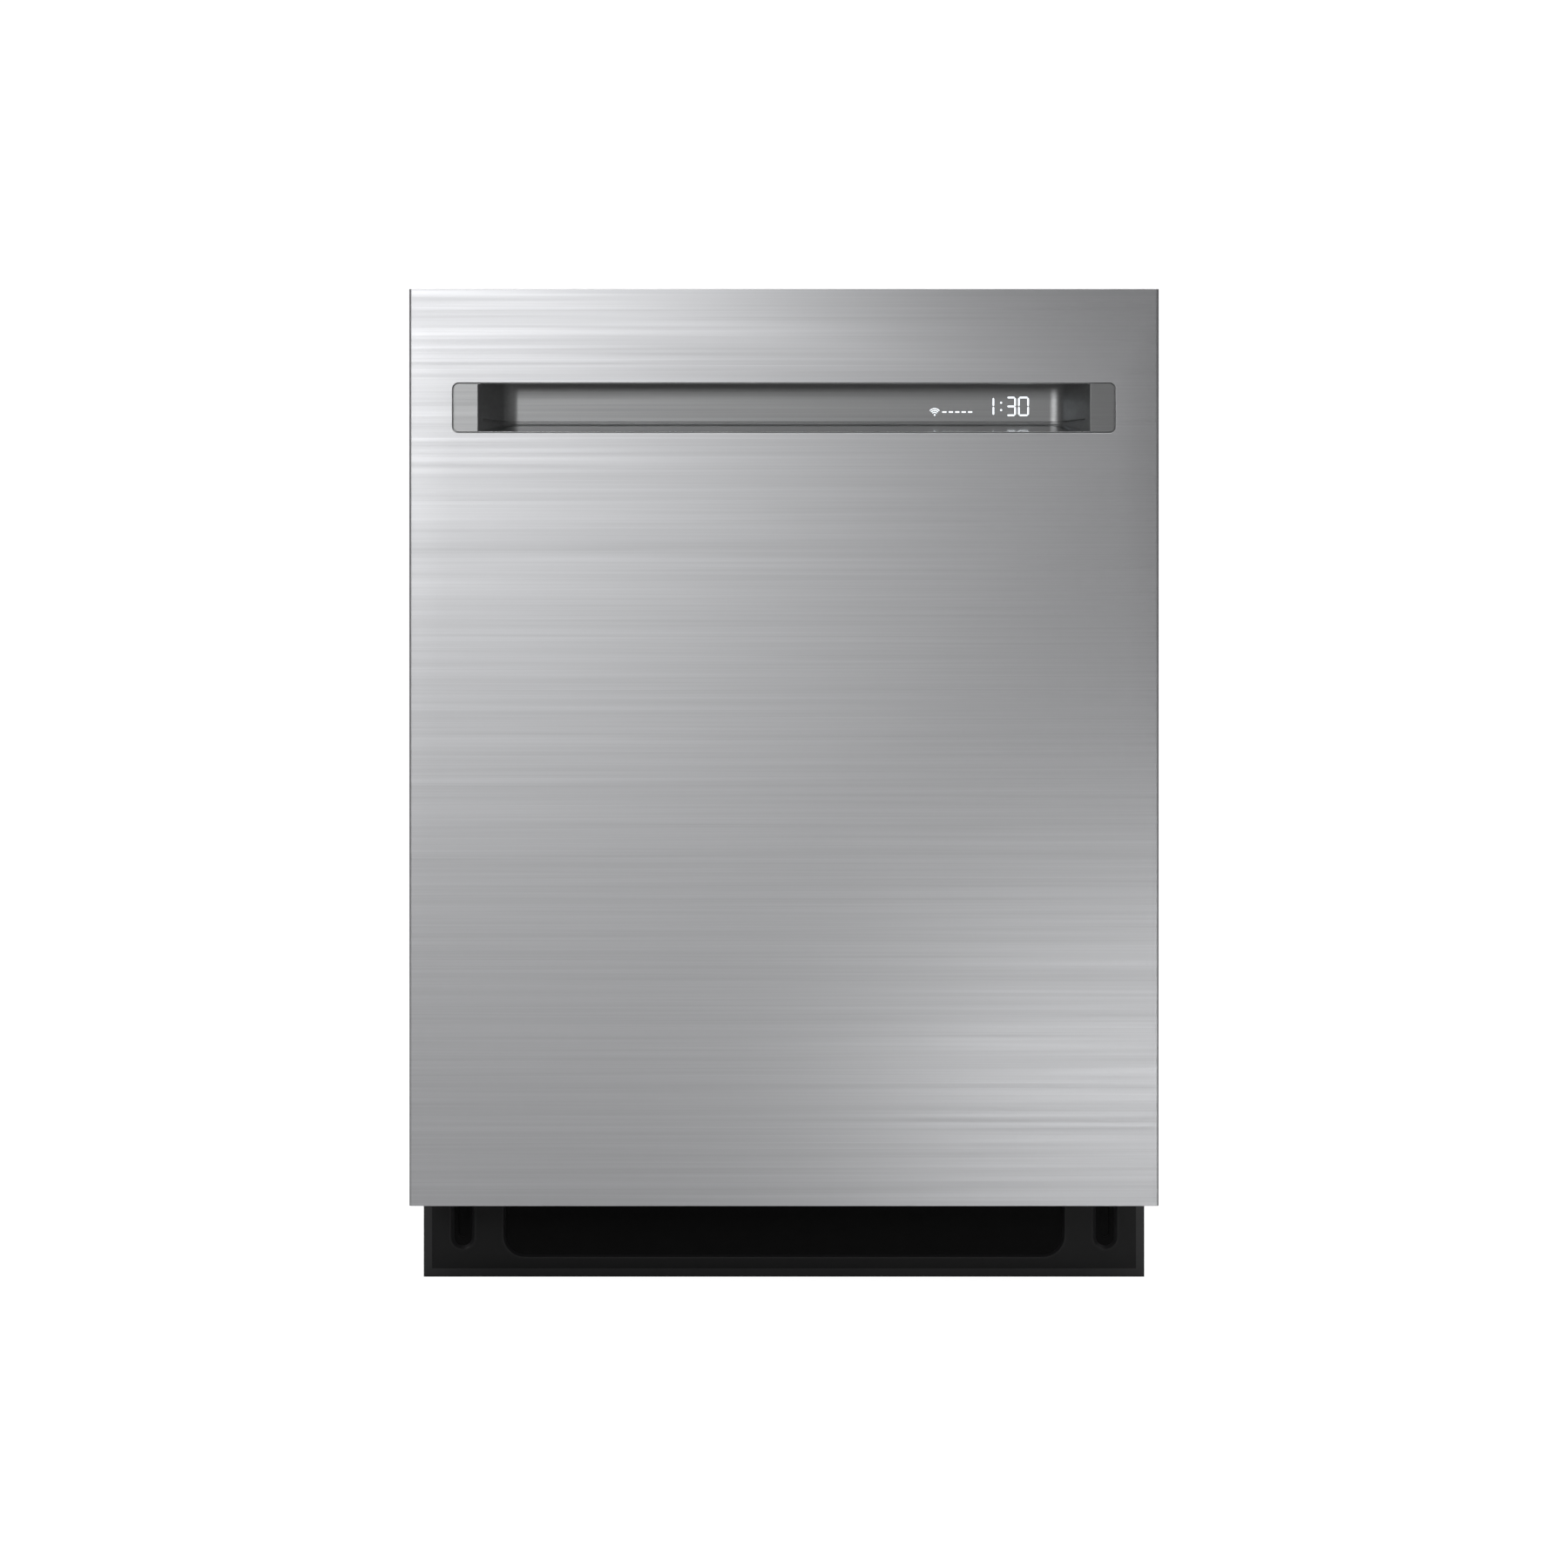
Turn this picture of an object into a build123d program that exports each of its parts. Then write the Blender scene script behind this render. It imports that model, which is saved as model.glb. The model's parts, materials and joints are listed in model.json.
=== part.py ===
from build123d import *
import os
from math import atan2, degrees, radians, tan

# Built-in dishwasher, 24 inch class, low (ADA) height. Millimetres, +Z up, +Y to the back.
# The origin is on the floor, in the middle of the machine's footprint.
# The door closes on the tub's front frame and turns on two pins at its lower corners.

os.makedirs("parts", exist_ok=True)

# ---------------------------------------------------------------- driving dimensions
WIDTH = 606.0
DEPTH = 620.0
HEIGHT = 810.0
FRONT = -DEPTH / 2
BACK = DEPTH / 2
SHEET = 1.0  # folded steel sheet
TUB_SHEET = 1.2  # tub and frame sheet

# door
DOOR_BOTTOM = 67.0
DOOR_TOP = 808.0
DOOR_THICKNESS = 62.0
LINER_Y = FRONT + DOOR_THICKNESS  # the liner's face towards the tub
HINGE_Y = LINER_Y - 35.0
HINGE_Z = 95.0
PIN_R = 4.0
RUN_GAP = 0.05  # radial running clearance of pins and axles
SIDE_RETURN_Y = FRONT + 24.0
TOP_RETURN_Y = FRONT + 12.0
TONGUE_HALF = 272.0  # the door's lower edge between the two hinges

# pocket handle
POCKET_Z = (691.5, 732.3)
POCKET_HALF = 268.0
POCKET_CORNER = 5.0
SCOOP_HALF = 247.7
SCOOP_BACK = FRONT + 33.0
SCOOP_ANGLE = 55.0
SCOOP_BEND = 15.0
SCOOP_RISE = 10.3
UNDERCUT_TOP = 746.0
LIP_BACK = FRONT + 7.0
POCKET_GAP = 1.1  # the shadow line round the pocket's end pads
SHADOW_LINE = 1.5  # the slit between the pocket's floor and its back wall
MOULDING = 2.5  # wall of the moulded plastic parts

# tub
FRAME_Y = LINER_Y + 7.0  # the front frame's plane, with the gasket in front of it
TUB_HALF = 284.0
TUB_TOP = 770.0
TUB_FLOOR = 119.0
TUB_BACK = 276.0
TUB_CORNER = 22.0
FRAME_HALF = 298.0
FRAME_TOP = 803.0
TRACK_Z = 132.0  # the wheels of the lower rack run at this height
SUMP_Y = -105.0
ARM_Y = 14.0  # all three spray arms turn about the line X = 0, Y = ARM_Y

# base
BASE_Z = 18.0
RAIL_WEB_X = 286.0
RAIL_TOP = 124.0
TOE_Y = FRONT + 70.0
TOE_HALF = 298.0
TOE_Z = (0.5, 104.0)

# balance mechanism beside the tub
CABLE_Z = HINGE_Z + 22.0
CABLE_X = 293.5
SPRING_FRONT = -148.0
SPRING_LENGTH = 148.0

# racks
WIRE = 4.0
RIM_WIRE = 5.0
WIRE_GAP = 0.05  # crossing wires keep this apart, as the weld's coating does
RACK_HALF = 250.0
RACK_Y = (-218.0, 244.0)
RACK_PITCH = 42.0
LOWER_FLOOR = 162.0
UPPER_FLOOR = 476.0
THIRD_FLOOR = 692.0
WHEEL_R = 18.0
WHEEL_YS = (-160.0, 185.0)


# ---------------------------------------------------------------- helpers
def slab(x, y, z, mode=Mode.ADD):
    """A box between the two limits given on each axis."""
    with Locations(((x[0] + x[1]) / 2, (y[0] + y[1]) / 2, (z[0] + z[1]) / 2)):
        Box(abs(x[1] - x[0]), abs(y[1] - y[0]), abs(z[1] - z[0]), mode=mode)


def both(a, b):
    """The same span of X on the left and on the right of the machine."""
    return ((-b, -a), (a, b))


def round_bar(turn, radius, length, places, mode=Mode.ADD):
    """Equal round bars centred on the places, turned from Z by the given angles."""
    with Locations(*[Location(place, turn) for place in places]):
        Cylinder(radius, length, mode=mode)


ALONG_X = (0, 90, 0)
ALONG_Y = (90, 0, 0)
ALONG_Z = (0, 0, 0)


def save(piece, name):
    """Labels a finished piece and writes it to its own STEP file."""
    piece.part.label = name
    export_step(piece.part, f"parts/{name}.step")


# ---------------------------------------------------------------- door: outer panel
# One brushed steel sheet, folded back along its four edges, with the handle's opening.
with BuildPart() as outer_door_panel:
    with BuildSketch(Plane.XY.offset(DOOR_BOTTOM)):
        with Locations((0, (FRONT + SIDE_RETURN_Y) / 2)):
            Rectangle(WIDTH, SIDE_RETURN_Y - FRONT)
        fillet(vertices().group_by(Axis.Y)[0], 2.5)
    extrude(amount=DOOR_TOP - DOOR_BOTTOM)
    with BuildSketch(Plane.XY.offset(DOOR_BOTTOM + SHEET)):
        with Locations((0, (FRONT + SHEET + SIDE_RETURN_Y) / 2)):
            Rectangle(WIDTH - 2 * SHEET, SIDE_RETURN_Y - FRONT - SHEET)
        fillet(vertices().group_by(Axis.Y)[0], 1.5)
    extrude(amount=DOOR_TOP - DOOR_BOTTOM - 2 * SHEET, mode=Mode.SUBTRACT)
    inner_half = WIDTH / 2 - SHEET
    slab((-inner_half, inner_half), (TOP_RETURN_Y, SIDE_RETURN_Y), (800, HEIGHT), Mode.SUBTRACT)
    slab((-inner_half, inner_half), (FRONT + 14, SIDE_RETURN_Y), (60, 70), Mode.SUBTRACT)
    for x in both(TONGUE_HALF, inner_half):
        slab(x, (FRONT + SHEET, SIDE_RETURN_Y), (60, 70), Mode.SUBTRACT)
    with BuildSketch(Plane.XZ.offset(-FRONT)):
        with Locations((0, sum(POCKET_Z) / 2)):
            RectangleRounded(2 * POCKET_HALF, POCKET_Z[1] - POCKET_Z[0], POCKET_CORNER)
    extrude(amount=-2 * SHEET, mode=Mode.SUBTRACT)
save(outer_door_panel, "outer_door_panel")


# ---------------------------------------------------------------- door: pocket handle
def scoop_plan(grow, height):
    """The pocket's plan, with slanted ends that bend into a flat back wall."""
    run = (SCOOP_BACK - FRONT) / tan(radians(SCOOP_ANGLE))
    with BuildSketch(Plane.XY.offset(height)) as plan:
        with BuildLine():
            Polyline(
                (-SCOOP_HALF - 1.4, FRONT - 2),
                (SCOOP_HALF + 1.4, FRONT - 2),
                (SCOOP_HALF - run, SCOOP_BACK),
                (-SCOOP_HALF + run, SCOOP_BACK),
                close=True,
            )
        make_face()
        fillet(vertices().group_by(Axis.Y)[-1], SCOOP_BEND)
        if grow:
            offset(amount=grow)
    return plan.sketch


with BuildPart() as scoop_hollow:
    add(scoop_plan(0, POCKET_Z[0] - 10))
    extrude(amount=UNDERCUT_TOP - POCKET_Z[0] + 10)
    with BuildSketch(Plane.YZ.offset(-SCOOP_HALF - 20)):
        with BuildLine():
            Polyline(
                (FRONT - 2, POCKET_Z[0] + 0.4),
                (SCOOP_BACK + 1, POCKET_Z[0] + 0.4 + SCOOP_RISE),
                (SCOOP_BACK + 1, UNDERCUT_TOP),
                (LIP_BACK, UNDERCUT_TOP),
                (LIP_BACK, POCKET_Z[1] - 0.4),
                (FRONT - 2, POCKET_Z[1] - 0.4),
                close=True,
            )
        make_face()
    extrude(amount=2 * SCOOP_HALF + 40, mode=Mode.INTERSECT)

with BuildPart() as handle_pocket:
    add(scoop_plan(MOULDING, POCKET_Z[0] - 6))
    extrude(amount=UNDERCUT_TOP + MOULDING - POCKET_Z[0] + 6)
    slab((-300, 300), (FRONT - 20, FRONT + SHEET), (600, 800), Mode.SUBTRACT)
    slab((-276, 276), (FRONT + SHEET, FRONT + SHEET + MOULDING), (682, 752))
    pocket_size = (2 * POCKET_HALF, POCKET_Z[1] - POCKET_Z[0])
    pad_size = (pocket_size[0] - 2 * POCKET_GAP, pocket_size[1] - 2 * POCKET_GAP)
    with BuildSketch(Plane.XZ.offset(-FRONT - SHEET)):
        with Locations((0, sum(POCKET_Z) / 2)):
            RectangleRounded(*pocket_size, POCKET_CORNER)
    extrude(amount=-1.8, mode=Mode.SUBTRACT)
    with BuildSketch(Plane.XZ.offset(-FRONT - 0.3)):
        with Locations((0, sum(POCKET_Z) / 2)):
            RectangleRounded(*pad_size, POCKET_CORNER - POCKET_GAP)
    extrude(amount=-2.5)
    add(scoop_hollow.part, mode=Mode.SUBTRACT)
    slit_z = POCKET_Z[0] + 0.4 + SCOOP_RISE
    with BuildSketch(Plane.XY.offset(slit_z)):
        add(scoop_plan(1.6, slit_z))
        with Locations((0, FRONT)):
            Rectangle(2 * POCKET_HALF, 12, mode=Mode.SUBTRACT)
    extrude(amount=SHADOW_LINE, mode=Mode.SUBTRACT)
save(handle_pocket, "handle_pocket")

# ---------------------------------------------------------------- door: time display
# Lit segments that shine through the pocket's back wall, with a signal fan and cycle dashes.
DIGIT_Z = 716.4
DIGIT_H = 15.8
SEGMENT = 1.35
SEGMENTS = {"1": "bc", "3": "abcdg", "0": "abcdef"}
DIGITS = (("1", 168.0, 7.4), ("3", 185.4, 8.1), ("0", 195.6, 8.9))
FAN_X, FAN_Z = 123.0, 709.4
DASHES_X = (131.0, 152.0)


def lit_segment(x, z, length, upright):
    """One lamp of a digit: a bar with pointed ends."""
    half, point = length / 2 - 0.25, SEGMENT / 2
    outline = [(-half, 0), (-half + point, point), (half - point, point)]
    outline += [(half, 0), (half - point, -point), (-half + point, -point)]
    turned = [(v, -u) for u, v in outline] if upright else outline
    Polygon(*[(x + u, z + v) for u, v in turned], align=None)


def digit(lit, x, width):
    """A seven-segment digit, its lamps named a to g clockwise from the top, g in the middle."""
    side, half = width / 2 - SEGMENT / 2, DIGIT_H / 2 - SEGMENT / 2
    places = {
        "a": (0, half, False),
        "b": (side, half / 2, True),
        "c": (side, -half / 2, True),
        "d": (0, -half, False),
        "e": (-side, -half / 2, True),
        "f": (-side, half / 2, True),
        "g": (0, 0, False),
    }
    for lamp in lit:
        dx, dz, upright = places[lamp]
        lit_segment(x + dx, DIGIT_Z + dz, half if upright else width - SEGMENT, upright)


with BuildPart() as display_digits:
    with BuildSketch(Plane.XZ.offset(-SCOOP_BACK)):
        for character, x, width in DIGITS:
            digit(SEGMENTS[character], x, width)
        with Locations(*[(177.3, DIGIT_Z + dz) for dz in (-3.0, 3.0)]):
            Circle(0.8)
        with Locations((FAN_X, FAN_Z)):
            Circle(0.7)
        for radius in (2.2, 3.7, 5.2):
            with BuildLine():
                CenterArc((FAN_X, FAN_Z), radius, 45, 90)
                offset(amount=0.35, side=Side.BOTH)
            make_face()
        dash_pitch = (DASHES_X[1] - DASHES_X[0]) / 4
        with Locations(*[(DASHES_X[0] + dash_pitch * i, FAN_Z + 2.4) for i in range(5)]):
            SlotOverall(3.6, 1.2)
    extrude(amount=0.25)
save(display_digits, "display_digits")

# ---------------------------------------------------------------- door: inner liner
# Stainless pan with folded sides, an embossed middle and cut-outs for what is let into it.
EMBOSS = 4.0
EMBOSS_Y = LINER_Y + EMBOSS
DISPENSER_X, DISPENSER_Z = (-100.0, 100.0), (380.0, 540.0)
VENT_X, VENT_Z, VENT_R = 190.0, 300.0, 26.0
MOUTH_Z = (782.0, 797.0)
LINER_HALF = 299.0
LINER_Z = (125.0, 803.0)

with BuildPart() as inner_door_liner:
    slab((-LINER_HALF, LINER_HALF), (LINER_Y - SHEET, LINER_Y), LINER_Z)
    slab((-TONGUE_HALF, TONGUE_HALF), (LINER_Y - SHEET, LINER_Y), (75, LINER_Z[0]))
    for x in both(LINER_HALF - SHEET, LINER_HALF):
        slab(x, (FRONT + 10, LINER_Y), LINER_Z)
    with BuildSketch(Plane.XZ.offset(-LINER_Y + SHEET)):
        with Locations((0, 455)):
            RectangleRounded(510, 590, 24)
    extrude(amount=-(EMBOSS + SHEET), taper=20)
    with BuildSketch(Plane.XZ.offset(-LINER_Y + SHEET)):
        with Locations((0, 455)):
            RectangleRounded(508, 588, 23)
    extrude(amount=-EMBOSS, taper=20, mode=Mode.SUBTRACT)
    slab((-95, 95), (LINER_Y - 10, EMBOSS_Y + 1), (386, 534), Mode.SUBTRACT)
    round_bar(ALONG_Y, VENT_R, 20, [(VENT_X, LINER_Y, VENT_Z)], Mode.SUBTRACT)
    slab((-16, 16), (LINER_Y - 5, LINER_Y + 5), MOUTH_Z, Mode.SUBTRACT)
save(inner_door_liner, "inner_door_liner")

# ---------------------------------------------------------------- door: control console
CONSOLE_HALF = 297.0
CONSOLE_Z = (766.0, 806.8)
CONSOLE_Y = (FRONT + 1.5, LINER_Y - SHEET - 0.2)
BUTTON_Y = -273.0
BUTTONS = {"power_button": -205.0, "start_button": 205.0}
BUTTON_HOLE = (18.0, 11.0)
GLASS_Z = (CONSOLE_Z[1], 807.8)

with BuildPart() as control_console:
    slab((-CONSOLE_HALF, CONSOLE_HALF), CONSOLE_Y, CONSOLE_Z)
    slab(
        (-CONSOLE_HALF + MOULDING, CONSOLE_HALF - MOULDING),
        (CONSOLE_Y[0] + MOULDING, CONSOLE_Y[1] - MOULDING),
        (700, CONSOLE_Z[1] - MOULDING),
        Mode.SUBTRACT,
    )
    for x in BUTTONS.values():
        slab((x - 9, x + 9), (BUTTON_Y - 5.5, BUTTON_Y + 5.5), (780, 820), Mode.SUBTRACT)
    slab((-16, 16), (CONSOLE_Y[1] - 5, CONSOLE_Y[1] + 1), MOUTH_Z, Mode.SUBTRACT)
save(control_console, "control_console")

with BuildPart() as touch_panel:
    with BuildSketch(Plane.XY.offset(GLASS_Z[0])):
        with Locations((0, BUTTON_Y)):
            RectangleRounded(480, 34, 4)
        with Locations(*[(x, BUTTON_Y) for x in BUTTONS.values()]):
            Rectangle(*BUTTON_HOLE, mode=Mode.SUBTRACT)
    extrude(amount=GLASS_Z[1] - GLASS_Z[0])
save(touch_panel, "touch_panel")

for button_name, button_x in BUTTONS.items():
    with BuildPart() as push_button:
        with BuildSketch(Plane.XY.offset(798)):
            with Locations((button_x, BUTTON_Y)):
                RectangleRounded(BUTTON_HOLE[0] - 0.8, BUTTON_HOLE[1] - 0.8, 2)
        extrude(amount=10.6)
        fillet(edges().group_by(Axis.Z)[-1], 0.5)
        slab((button_x - 11, button_x + 11), (BUTTON_Y - 7.5, BUTTON_Y + 7.5), (798, 804))
    save(push_button, button_name)

# ---------------------------------------------------------------- door: latch
STRIKE_Z = (787.0, 789.0)
LATCH_Z = (774.0, 803.0)
BOLT_AXIS = (-274.0, 798.0)

with BuildPart() as latch_body:
    slab((-30, 30), (-282, CONSOLE_Y[1] - MOULDING), LATCH_Z)
    slab((-14, 14), (-272, -240), MOUTH_Z, Mode.SUBTRACT)
    slab((-9, 9), (-280, -252), (MOUTH_Z[0], 810), Mode.SUBTRACT)
    round_bar(ALONG_X, 1.5, 60, [(0, *BOLT_AXIS)], Mode.SUBTRACT)
save(latch_body, "latch_body")

# Rocking catch with its own axle, held down on the strike by a leg spring.
with BuildPart() as latch_bolt:
    slab((-8, 8), (BOLT_AXIS[0] - 4, -256.5), (796, 800))
    slab((-8, 8), (-260, -256.5), (792.6, 798))
    round_bar(ALONG_X, 3.5, 16, [(0, *BOLT_AXIS)])
    round_bar(ALONG_X, 1.45, 58, [(0, *BOLT_AXIS)])
save(latch_bolt, "latch_bolt")

# ---------------------------------------------------------------- door: dispenser
CUP_X, CUP_Z = (-86.0, -6.0), (395.0, 458.0)
CAP_X, CAP_Z = 48.0, 430.0

with BuildPart() as detergent_dispenser:
    slab(DISPENSER_X, (EMBOSS_Y, EMBOSS_Y + 3), DISPENSER_Z)
    fillet(edges().filter_by(Axis.Y), 8)
    slab((-94, 94), (EMBOSS_Y - 30, EMBOSS_Y), (387, 533))
    slab(CUP_X, (EMBOSS_Y - 26, EMBOSS_Y + 5), CUP_Z, Mode.SUBTRACT)
    round_bar(ALONG_Y, 23, 16, [(CAP_X, EMBOSS_Y + 3, CAP_Z)], Mode.SUBTRACT)
    round_bar(ALONG_Y, 4, 40, [(CAP_X, EMBOSS_Y - 12, CAP_Z)], Mode.SUBTRACT)
save(detergent_dispenser, "detergent_dispenser")

with BuildPart() as detergent_lid:
    slab((CUP_X[0] - 4, CUP_X[1] + 4), (EMBOSS_Y + 3.3, EMBOSS_Y + 6), (CUP_Z[0] - 4, CUP_Z[1] + 4))
    fillet(edges().filter_by(Axis.Y), 4)
    slab((CUP_X[0] + 10, CUP_X[1] - 10), (EMBOSS_Y + 6, EMBOSS_Y + 9), (450, 454))
save(detergent_lid, "detergent_lid")

with BuildPart() as rinse_aid_cap:
    round_bar(ALONG_Y, 22.5, 8, [(CAP_X, EMBOSS_Y, CAP_Z)])
    round_bar(ALONG_Y, 3.9, 16, [(CAP_X, EMBOSS_Y - 11, CAP_Z)])
    slab((CAP_X - 17, CAP_X + 17), (EMBOSS_Y + 4, EMBOSS_Y + 8), (CAP_Z - 3, CAP_Z + 3))
save(rinse_aid_cap, "rinse_aid_cap")

with BuildPart() as door_vent:
    round_bar(ALONG_Y, VENT_R + 8, 3, [(VENT_X, EMBOSS_Y + 1.5, VENT_Z)])
    round_bar(ALONG_Y, VENT_R - 0.5, 20, [(VENT_X, EMBOSS_Y - 10, VENT_Z)])
    round_bar(ALONG_Y, VENT_R - 3, 20, [(VENT_X, EMBOSS_Y - 13, VENT_Z)], Mode.SUBTRACT)
    with Locations(*[(VENT_X, EMBOSS_Y, VENT_Z + 8 * i) for i in (-2, -1, 0, 1, 2)]):
        Box(34, 10, 3, mode=Mode.SUBTRACT)
save(door_vent, "door_vent")

# ---------------------------------------------------------------- door: hinges and seal
PULLEY_R = CABLE_Z - HINGE_Z - 1.2
ARM_X = (286.5, 289.5)

with BuildPart() as hinge_arms:
    with BuildSketch(Plane.XZ.offset(-HINGE_Y + 12)):
        with BuildLine():
            Polyline(
                (ARM_X[0], HINGE_Z - 10),
                (ARM_X[1], HINGE_Z - 10),
                (ARM_X[1], 124),
                (298, 134),
                (298, 330),
                (295, 330),
                (295, 135.5),
                (ARM_X[0], 125.5),
                close=True,
            )
        make_face()
    extrude(amount=-24)
    pulley_x = (ARM_X[1], 297.0)
    round_bar(ALONG_X, 14, ARM_X[1] - ARM_X[0], [(sum(ARM_X) / 2, HINGE_Y, HINGE_Z)])
    round_bar(ALONG_X, PULLEY_R, pulley_x[1] - pulley_x[0], [(sum(pulley_x) / 2, HINGE_Y, HINGE_Z)])
    round_bar(ALONG_X, PIN_R + RUN_GAP, 40, [(290, HINGE_Y, HINGE_Z)], Mode.SUBTRACT)
    mirror(about=Plane.YZ)
save(hinge_arms, "hinge_arms")

SCREW_ZS = (160.0, 240.0, 310.0, 420.0, 560.0, 700.0)
with BuildPart() as door_screws:
    for side in (-1, 1):
        round_bar(ALONG_X, 4.0, 1.8, [(side * (LINER_HALF + 0.9), -262, z) for z in SCREW_ZS])
    for side in (-1, 1):
        sockets = [(side * (LINER_HALF + 1.4), -262, z) for z in SCREW_ZS]
        round_bar(ALONG_X, 1.6, 1.2, sockets, Mode.SUBTRACT)
save(door_screws, "door_screws")

SEAL_HALF = 250.0
with BuildPart() as splash_seal:
    with BuildSketch(Plane.YZ.offset(-SEAL_HALF)):
        with BuildLine():
            Polyline(
                (LINER_Y, 100),
                (LINER_Y, 124),
                (LINER_Y + 2, 124),
                (LINER_Y + 5.5, 114),
                (LINER_Y + 2, 100),
                close=True,
            )
        make_face()
    extrude(amount=2 * SEAL_HALF)
save(splash_seal, "splash_seal")

# ---------------------------------------------------------------- tub
with BuildPart() as tub_wrap:
    with BuildSketch(Plane.XZ.offset(-FRAME_Y - TUB_SHEET)):
        outer_half = TUB_HALF + TUB_SHEET
        mid_z = (TUB_FLOOR - TUB_SHEET + TUB_TOP + TUB_SHEET) / 2
        with Locations((0, mid_z)):
            Rectangle(2 * outer_half, TUB_TOP - TUB_FLOOR + 2 * TUB_SHEET)
        fillet(vertices().group_by(Axis.Y)[-1], TUB_CORNER + TUB_SHEET)
        with BuildSketch(mode=Mode.PRIVATE) as room:
            with Locations((0, (TUB_TOP + 50) / 2)):
                Rectangle(2 * TUB_HALF, TUB_TOP - 50)
            fillet(vertices().group_by(Axis.Y)[-1], TUB_CORNER)
        add(room.sketch, mode=Mode.SUBTRACT)
    extrude(amount=-(TUB_BACK - FRAME_Y - TUB_SHEET))
save(tub_wrap, "tub_wrap")

# Back sheet with four saddles that hold the drain hose's high loop.
HOSE_R = 9.5
HOSE_Y = BACK - HOSE_R
HOSE_XS = (-80.0, -190.0)
with BuildPart() as tub_back:
    with BuildSketch(Plane.XZ.offset(-TUB_BACK)):
        with Locations((0, (112 + TUB_TOP + TUB_SHEET) / 2)):
            Rectangle(2 * outer_half, TUB_TOP + TUB_SHEET - 112)
        fillet(vertices().group_by(Axis.Y)[-1], TUB_CORNER + TUB_SHEET)
    extrude(amount=-TUB_SHEET)
    for z in (240, 560):
        for x in HOSE_XS:
            slab((x - 14, x + 14), (TUB_BACK + TUB_SHEET, HOSE_Y), (z - 7, z + 7))
    legs = [(x, HOSE_Y, 400) for x in HOSE_XS]
    round_bar(ALONG_Z, HOSE_R, 500, legs, Mode.SUBTRACT)
save(tub_back, "tub_back")

# Floor pan with a dam at the door, two embossed wheel tracks and the sump's opening.
TRACK_X = (256.0, 276.0)
SUMP_R = 70.0
HEATER_X, HEATER_Y, HEATER_Z = 205.0, (-195.0, 215.0), 134.0
with BuildPart() as tub_floor:
    floor_y = (FRAME_Y, TUB_BACK)
    slab((-TUB_HALF, TUB_HALF), floor_y, (TUB_FLOOR - TUB_SHEET, TUB_FLOOR))
    slab((-TUB_HALF, TUB_HALF), (FRAME_Y, FRAME_Y + TUB_SHEET), (112, TRACK_Z - 1))
    for x in both(*TRACK_X):
        slab(x, (FRAME_Y, 264), (TUB_FLOOR, TRACK_Z))
        inside = (x[0] + TUB_SHEET, x[1] - TUB_SHEET)
        slab(inside, (FRAME_Y + TUB_SHEET, 262), (110, TRACK_Z - TUB_SHEET), Mode.SUBTRACT)
    round_bar(ALONG_Z, SUMP_R, 20, [(0, SUMP_Y, TUB_FLOOR)], Mode.SUBTRACT)
    round_bar(ALONG_Z, 14, 20, [(0, ARM_Y, TUB_FLOOR)], Mode.SUBTRACT)
    round_bar(ALONG_Z, 4, 20, [(x, HEATER_Y[1], TUB_FLOOR) for x in (-60, 60)], Mode.SUBTRACT)
save(tub_floor, "tub_floor")

with BuildPart() as front_frame:
    with BuildSketch(Plane.XZ.offset(-FRAME_Y)):
        with Locations((0, (128 + FRAME_TOP) / 2)):
            Rectangle(2 * FRAME_HALF, FRAME_TOP - 128)
        add(room.sketch, mode=Mode.SUBTRACT)
    extrude(amount=-TUB_SHEET)
    for x in both(FRAME_HALF - TUB_SHEET, FRAME_HALF):
        slab(x, (FRAME_Y, FRAME_Y + 14), (128, FRAME_TOP))
    slab((-FRAME_HALF, FRAME_HALF), (FRAME_Y, FRAME_Y + 14), (FRAME_TOP - TUB_SHEET, FRAME_TOP))
save(front_frame, "front_frame")

with BuildPart() as door_gasket:
    with BuildSketch(Plane.XZ.offset(-FRAME_Y)):
        with Locations((0, 457)):
            Rectangle(592, 658)
        fillet(vertices().group_by(Axis.Y)[-1], 14)
        with BuildSketch(mode=Mode.PRIVATE) as bore:
            with Locations((0, 440)):
                Rectangle(572, 672)
            fillet(vertices().group_by(Axis.Y)[-1], 6)
        add(bore.sketch, mode=Mode.SUBTRACT)
    extrude(amount=LINER_Y * -1 + FRAME_Y - 0.4)
save(door_gasket, "door_gasket")

BLANKET_T = 6.0
BLANKET_Y = (-205.0, 268.0)
with BuildPart() as insulation_blanket:
    with BuildSketch(Plane.XZ.offset(-BLANKET_Y[0])):
        blanket_half = outer_half + BLANKET_T
        blanket_top = TUB_TOP + TUB_SHEET + BLANKET_T
        with Locations((0, (130 + blanket_top) / 2)):
            Rectangle(2 * blanket_half, blanket_top - 130)
        fillet(vertices().group_by(Axis.Y)[-1], TUB_CORNER + TUB_SHEET + BLANKET_T)
        with BuildSketch(mode=Mode.PRIVATE) as tub_outside:
            with Locations((0, (TUB_TOP + TUB_SHEET + 50) / 2)):
                Rectangle(2 * outer_half, TUB_TOP + TUB_SHEET - 50)
            fillet(vertices().group_by(Axis.Y)[-1], TUB_CORNER + TUB_SHEET)
        add(tub_outside.sketch, mode=Mode.SUBTRACT)
    extrude(amount=-(BLANKET_Y[1] - BLANKET_Y[0]))
save(insulation_blanket, "insulation_blanket")

# ---------------------------------------------------------------- tub front fittings
with BuildPart() as strike_plate:
    slab((-10, 10), (-263, FRAME_Y), STRIKE_Z)
    slab((-10, 10), (-263, -261), (STRIKE_Z[1], 791.8))
    slab((-16, 16), (FRAME_Y - 1.5, FRAME_Y), (STRIKE_Z[0], 799))
save(strike_plate, "strike_plate")

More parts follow.
